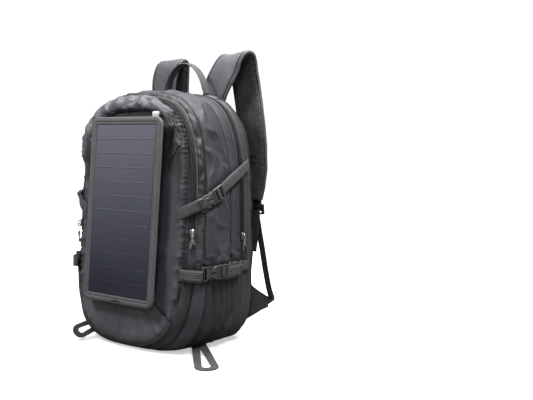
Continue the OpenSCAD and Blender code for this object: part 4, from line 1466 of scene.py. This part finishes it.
def blow_up(made):
    """Runs a short cloth simulation with pressure inside, and holds it to a few millimetres."""
    start = [v.co.copy() for v in made.data.vertices]
    cloth = made.modifiers.new("cloth", "CLOTH")
    cloth.settings.use_pressure = True
    cloth.settings.uniform_pressure_force = 4
    cloth.settings.quality = 4
    cloth.settings.effector_weights.gravity = 0
    cloth.collision_settings.use_self_collision = False
    for f in range(1, 15):
        bpy.context.scene.frame_set(f)
    apply_modifiers(made)
    for v, rest in zip(made.data.vertices, start):
        moved = v.co - rest
        if moved.length > PAD_CAP * MM:
            moved = moved.normalized() * PAD_CAP * MM
        v.co = rest + moved
        v.co.y = max(v.co.y, PAD_FACE * MM)
    bpy.context.scene.frame_set(1)


def stuffed_pad(name, cx, cz, w, h):
    """A foam pad under air mesh: a flat form blown up a little by cloth simulation, flat against the back."""
    outline = []
    for sx, sz, a in ((1, 1, 0), (-1, 1, 90), (-1, -1, 180), (1, -1, 270)):
        x, z = cx + sx * (w / 2 - PAD_CORNER), cz + sz * (h / 2 - PAD_CORNER)
        outline += arc_points(x, z, PAD_CORNER, a, a + 90, 8)
    rows = [[Vector((cx + (x - cx) * share, PAD_FACE + PAD_THICK * up, cz + (z - cz) * share)) * MM
             for x, z in outline] for share, up in PAD_PROFILE]
    made = grid(name, rows, MESH_CLOTH, wrap=True, flip=True, cap_first=True, cap_last=True)
    remesh = made.modifiers.new("remesh", "REMESH")
    remesh.mode, remesh.voxel_size = "VOXEL", 0.0045
    apply_modifiers(made)
    blow_up(made)
    for v in made.data.vertices:
        edge = min(w / 2 - abs(v.co.x / MM - cx), h / 2 - abs(v.co.z / MM - cz))
        if v.co.y > (BACK_Y + 4) * MM:
            v.co.y -= 2.4 * MM * bump(edge - 12, 2.6)
            v.co.y -= 2.0 * MM * bump((v.co.z / MM - cz) % 62 - 31, 2.6) * ease((edge - 8) / 6)
    smooth = made.modifiers.new("smooth", "SUBSURF")
    smooth.levels = smooth.render_levels = 1
    apply_modifiers(made)
    repaint(made, MESH_CLOTH)
    made.data.shade_smooth()
    set_point_values(made, "cloth", [(v.co.x, v.co.z, 0) for v in made.data.vertices], "FLOAT_VECTOR")
    attach(made, "pack", "air_mesh")
    return made


def make_back():
    first = stuffed_pad("back_pad_right", 58, 265, 80, 246)
    stuffed_pad("back_pad_left", -58, 265, 80, 246)
    stuffed_pad("back_pad_lumbar", 0, 80, 206, 74)
    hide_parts("back_pads")
    repaint(NODES["back_board"], FOAM, 0.001, 2)


def flat_sheet(name, corners, n, sag):
    """A slightly slack sheet of lining between four corners, in millimetres."""
    a, b, c, d = [Vector(p) for p in corners]
    rows = []
    for i in steps(0, 1, n):
        row = []
        for j in steps(0, 1, n):
            p = a.lerp(b, j).lerp(d.lerp(c, j), i)
            free = math.sin(math.pi * i) * math.sin(math.pi * j)
            row.append((p + Vector((0, sag, 0)) * (free + 0.8 * free ** 0.5 * crumple(p, 40, 1))) * MM)
        rows.append(row)
    return grid(name, rows, LINING, "pack")


SLEEVE_HALF, SLEEVE_LOW, SLEEVE_TOP = 115, 24, 252


def make_lining():
    """The divider behind the front pocket, and the padded sleeve against the back."""
    edge = [body_point(1.3, t, -4.2) for t in even_turns(121)[:-1]]
    rows = [[Vector((p.x * k, -23, MID_Z + (p.z - MID_Z) * k)) * MM
             + Vector((0, 2.2 * MM * crumple((p.x * k, p.z * k, 5), 50), 0)) for p in edge]
            for k in steps(0.02, 1, 24)]
    made = thicken(grid("divider_cloth", rows, LINING, wrap=True, cap_first=True), 1.4, offset=0)
    attach(made, FOLD, "lining", "divider")

    def upright(x0, x1, y0, y1):
        return [(x0, y0, SLEEVE_LOW), (x1, y1, SLEEVE_LOW), (x1, y1, SLEEVE_TOP), (x0, y0, SLEEVE_TOP)]

    sleeve = flat_sheet("laptop_sleeve_cloth", upright(-SLEEVE_HALF, SLEEVE_HALF, 63, 63), 24, -2.0)
    thicken(sleeve, 2.4, offset=0)
    attach(sleeve, None, "lining", "laptop_sleeve")
    for side, tag in SIDES:
        wall = flat_sheet(f"sleeve_side_{tag}", upright(side * 114, side * 114, 64, 80), 10, 0)
        thicken(wall, 1.6, offset=0)
    top = [Vector((x, 63, SLEEVE_TOP)) * MM for x in steps(-SLEEVE_HALF, SLEEVE_HALF, 30)]
    tube("sleeve_binding", top, 1.8, PIPING, "pack")


# ---- Solar panel ---------------------------------------------------------


def round_rect(w, l, r, per_side=14):
    """A rectangle with round corners as a list of points, anticlockwise from the middle of its right side."""
    out = []
    hw, hl = w / 2, l / 2
    spots = [((hw, -hl + r), (hw, hl - r), 0), ((hw - r, hl), (-hw + r, hl), 90),
             ((-hw, hl - r), (-hw, -hl + r), 180), ((-hw + r, -hl), (hw - r, -hl), 270)]
    for (x0, y0), (x1, y1), a in spots:
        out += [(x0 + (x1 - x0) * k, y0 + (y1 - y0) * k) for k in steps(0, 1, per_side)[:-1]]
        cx, cy = x1 - r * math.cos(math.radians(a)), y1 - r * math.sin(math.radians(a))
        out += arc_points(cx, cy, r, a, a + 90, 9)[:-1]
    return out


def ring_piece(name, w, l, r, profile, material, body, centre=0.0, cap=False, flip=False):
    """A frame swept round a rectangle; the profile lists inset and height out of the panel."""
    rows = [[panel_point(x, y + centre, out + 0.15 * crumple((x, y, inset), 16, 3))
             for x, y in round_rect(w - 2 * inset, l - 2 * inset, max(1.2, r - inset))]
            for inset, out in profile]
    return grid(name, rows, material, body, wrap=True, flip=flip, cap_last=cap)


POUCH_W, POUCH_L, POUCH_C = 150, 250, -18
PANEL_CORNER, POUCH_CORNER = 15, 14
# Inset from the edge and height out of the panel, along the section of each swept piece
FRAME_PROFILE = [(14.4, -2.4), (14.2, -1.0), (13.6, -0.1), (12.6, 0.5), (11.2, 0.7), (10.0, 0.55), (9.4, 0.0),
                 (8.8, 0.5), (8.0, 1.1), (6.6, 1.5), (5.0, 1.6), (3.6, 1.5), (2.6, 0.9), (2.1, 0.75),
                 (1.4, 0.7), (0.5, 0.1), (0.0, -1.2), (-0.1, -2.8), (0.2, -4.6), (1.0, -5.9), (2.4, -6.5),
                 (5.0, -6.7), (9.0, -6.7)]
BACK_PROFILE = [(7.5, -6.9), (12, -6.6), (30, -6.5), (60, -6.5), (85, -6.5)]
GUSSET_PROFILE = [(-3, -6.5), (-1, -6.9), (0.3, -8.0), (0.8, -10), (0.4, -12), (0.2, -13.6), (0.8, -14.6),
                  (2.6, -14.9), (4.6, -14.7)]
BINDING_PROFILE = [(7.4, -15.9), (7.8, -16.4), (7.2, -17.1), (5.6, -17.4), (2.0, -17.4), (0.6, -17.2),
                   (0.1, -16.6), (0.6, -16.0), (2.0, -15.7), (6.0, -15.7), (7.4, -15.9)]


def make_panel():
    border = ring_piece("panel_frame", PANEL_W, PANEL_L, PANEL_CORNER, FRAME_PROFILE, PANEL_CLOTH, "panel")
    attach(border, None, "panel_fabric", "panel_border")
    back = ring_piece("panel_back_cloth", PANEL_W, PANEL_L, PANEL_CORNER, BACK_PROFILE, PANEL_BACK, "panel",
                      cap=True)
    attach(thicken(back, 0.6), None, "panel_fabric", "panel_board")
    for node, material, edge in (("solar_cells", CELLS, 0.0002), ("cell_sheet", FILM, 0.0002),
                                 ("usb_box", BLACK_PLASTIC, 0.0015), ("usb_port", SILVER, 0.0003),
                                 ("hook_strips", HOOKS, 0.0005)):
        repaint(NODES[node], material, edge, 2)
    pitch = (PANEL_L - 2 * BORDER) / CELL_COUNT
    half = PANEL_W / 2 - BORDER - 2
    for k in range(1, CELL_COUNT):
        y = -PANEL_L / 2 + BORDER + k * pitch
        cord(f"cell_line_{k}", [panel_point(x, y, -0.75) for x in steps(-half, half, 8)], 0.5, "panel", FILM)
    lines = []
    for inset, out in ((9.4, 0.25), (2.1, 0.85)):
        ring = round_rect(PANEL_W - 2 * inset, PANEL_L - 2 * inset, max(2, PANEL_CORNER - inset), 30)
        lines.append([panel_point(x, y, out) for x, y in ring + ring[:1]])
    attach(stitches("panel_stitches", lines, THREAD, pitch=4.0, length=2.8), "panel")
    lines = [[panel_point(-10 + x, -PANEL_L / 2 + y, 1.75) for x in steps(0, 22, 12)]
             for y in (4.6, 5.6, 6.6)]
    attach(stitches("panel_bar_tack", lines, THREAD, pitch=2.2, length=2.0, thick=0.5), "panel")


def make_pouch():
    """The pouch behind the panel: a gusset, the zipper round it, and the flap with its bound edge."""
    wall = ring_piece("pouch_gusset", POUCH_W, POUCH_L, POUCH_CORNER, GUSSET_PROFILE, PANEL_BACK, "panel",
                      POUCH_C)
    attach(thicken(wall, 1.2), None, "panel_fabric", "pouch_wall")
    ring = round_rect(POUCH_W - 1, POUCH_L - 1, 13.5, 30)
    for end, out, r, body in (("low", -14.9, 0.8, "panel"), ("high", -16.0, 0.7, "flap")):
        path = [panel_point(x, y + POUCH_C, out) for x, y in ring]
        tube(f"pouch_zip_{end}", path, r, THREAD, body, closed=True, sides=6)
    binding = ring_piece("flap_frame", POUCH_W, POUCH_L, POUCH_CORNER, BINDING_PROFILE, PANEL_CLOTH, "flap",
                         POUCH_C, flip=True)
    weld(binding, 1e-5)
    attach(binding, None, "panel_fabric", "flap_binding")
    make_net()


NET_W, NET_L, NET_PITCH, STRAND = POUCH_W - 14, POUCH_L - 14, 5.2, 0.9


def make_net():
    """The flap's net: diamonds of strand, a little slack in the middle."""
    points, faces, index = [], [], {}
    columns, rows = int(NET_W / NET_PITCH), int(NET_L / (NET_PITCH * 0.6))

    def corner(i, j):
        if (i, j) not in index:
            index[(i, j)] = len(points)
            x = max(-NET_W / 2, min(NET_W / 2, (i / 2 - columns / 2) * NET_W / columns))
            y = max(-NET_L / 2, min(NET_L / 2, (j - rows / 2) * NET_L / rows))
            sag = 0.7 * math.cos(math.pi * x / NET_W) * math.cos(math.pi * y / NET_L)
            points.append(panel_point(x, y + POUCH_C, -16.4 - sag))
        return index[(i, j)]

    for j in range(rows):
        for i in range(j % 2, 2 * columns - 1, 2):
            if j + 2 <= rows and i + 2 <= 2 * columns:
                faces.append((corner(i + 1, j), corner(i + 2, j + 1), corner(i + 1, j + 2), corner(i, j + 1)))
    net = new_object("flap_net", points, faces, NET)
    wires = net.modifiers.new("net", "WIREFRAME")
    wires.thickness, wires.use_even_offset, wires.use_boundary = STRAND * MM, False, True
    apply_modifiers(net)
    repaint(net, NET)
    attach(net, "flap", "flap_mesh", "mesh_flap")
    # A net's flat area is its strands': strand width times the length of strand in each diamond.
    half_x, half_y = NET_W / columns / 2, NET_L / rows
    share = 2 * math.hypot(half_x, half_y) * STRAND / (2 * half_x * half_y)
    round(share * NET_W * NET_L * MM * MM, 4)


def make_panel_hinge():
    """The fabric bar that the panel hangs from, and the white tab beside it."""
    path = [panel_point(x, PANEL_L / 2 - 10, -17.0) for x in steps(-60, 60, 40)]
    up = Vector((0, math.sin(LEAN), math.cos(LEAN)))
    bar = strap("panel_hinge_tape", path, 12, 17.6, up, WEBBING, "front_section",
                profile=rounded_profile(20, 5))
    attach(bar, None, "webbing", "panel_anchor")
    section = [(168, -18.4), (171, -16.8), (175, -15.4), (179, -15.0), (181.5, -16.2), (180, -18.0),
               (176, -19.0)]
    path = curve_through([panel_point(60, y, out) for y, out in section], 24)
    tab = strap("white_loop_tab", path, 15, 1.0, (1, 0, 0), WHITE_TAPE, "front_section")
    attach(tab, None, "tab_white", "loop_tab")


for make in (make_camera, make_studio, make_skins, make_shield, make_seams, make_gathers, make_hood,
             make_hood_recess, make_zippers, make_compression_straps, make_pulls, make_side_pockets,
             make_shoulder_straps, make_corner_wings, make_handle, make_lash_loops, make_back, make_lining,
             make_panel, make_pouch, make_panel_hinge):
    make()
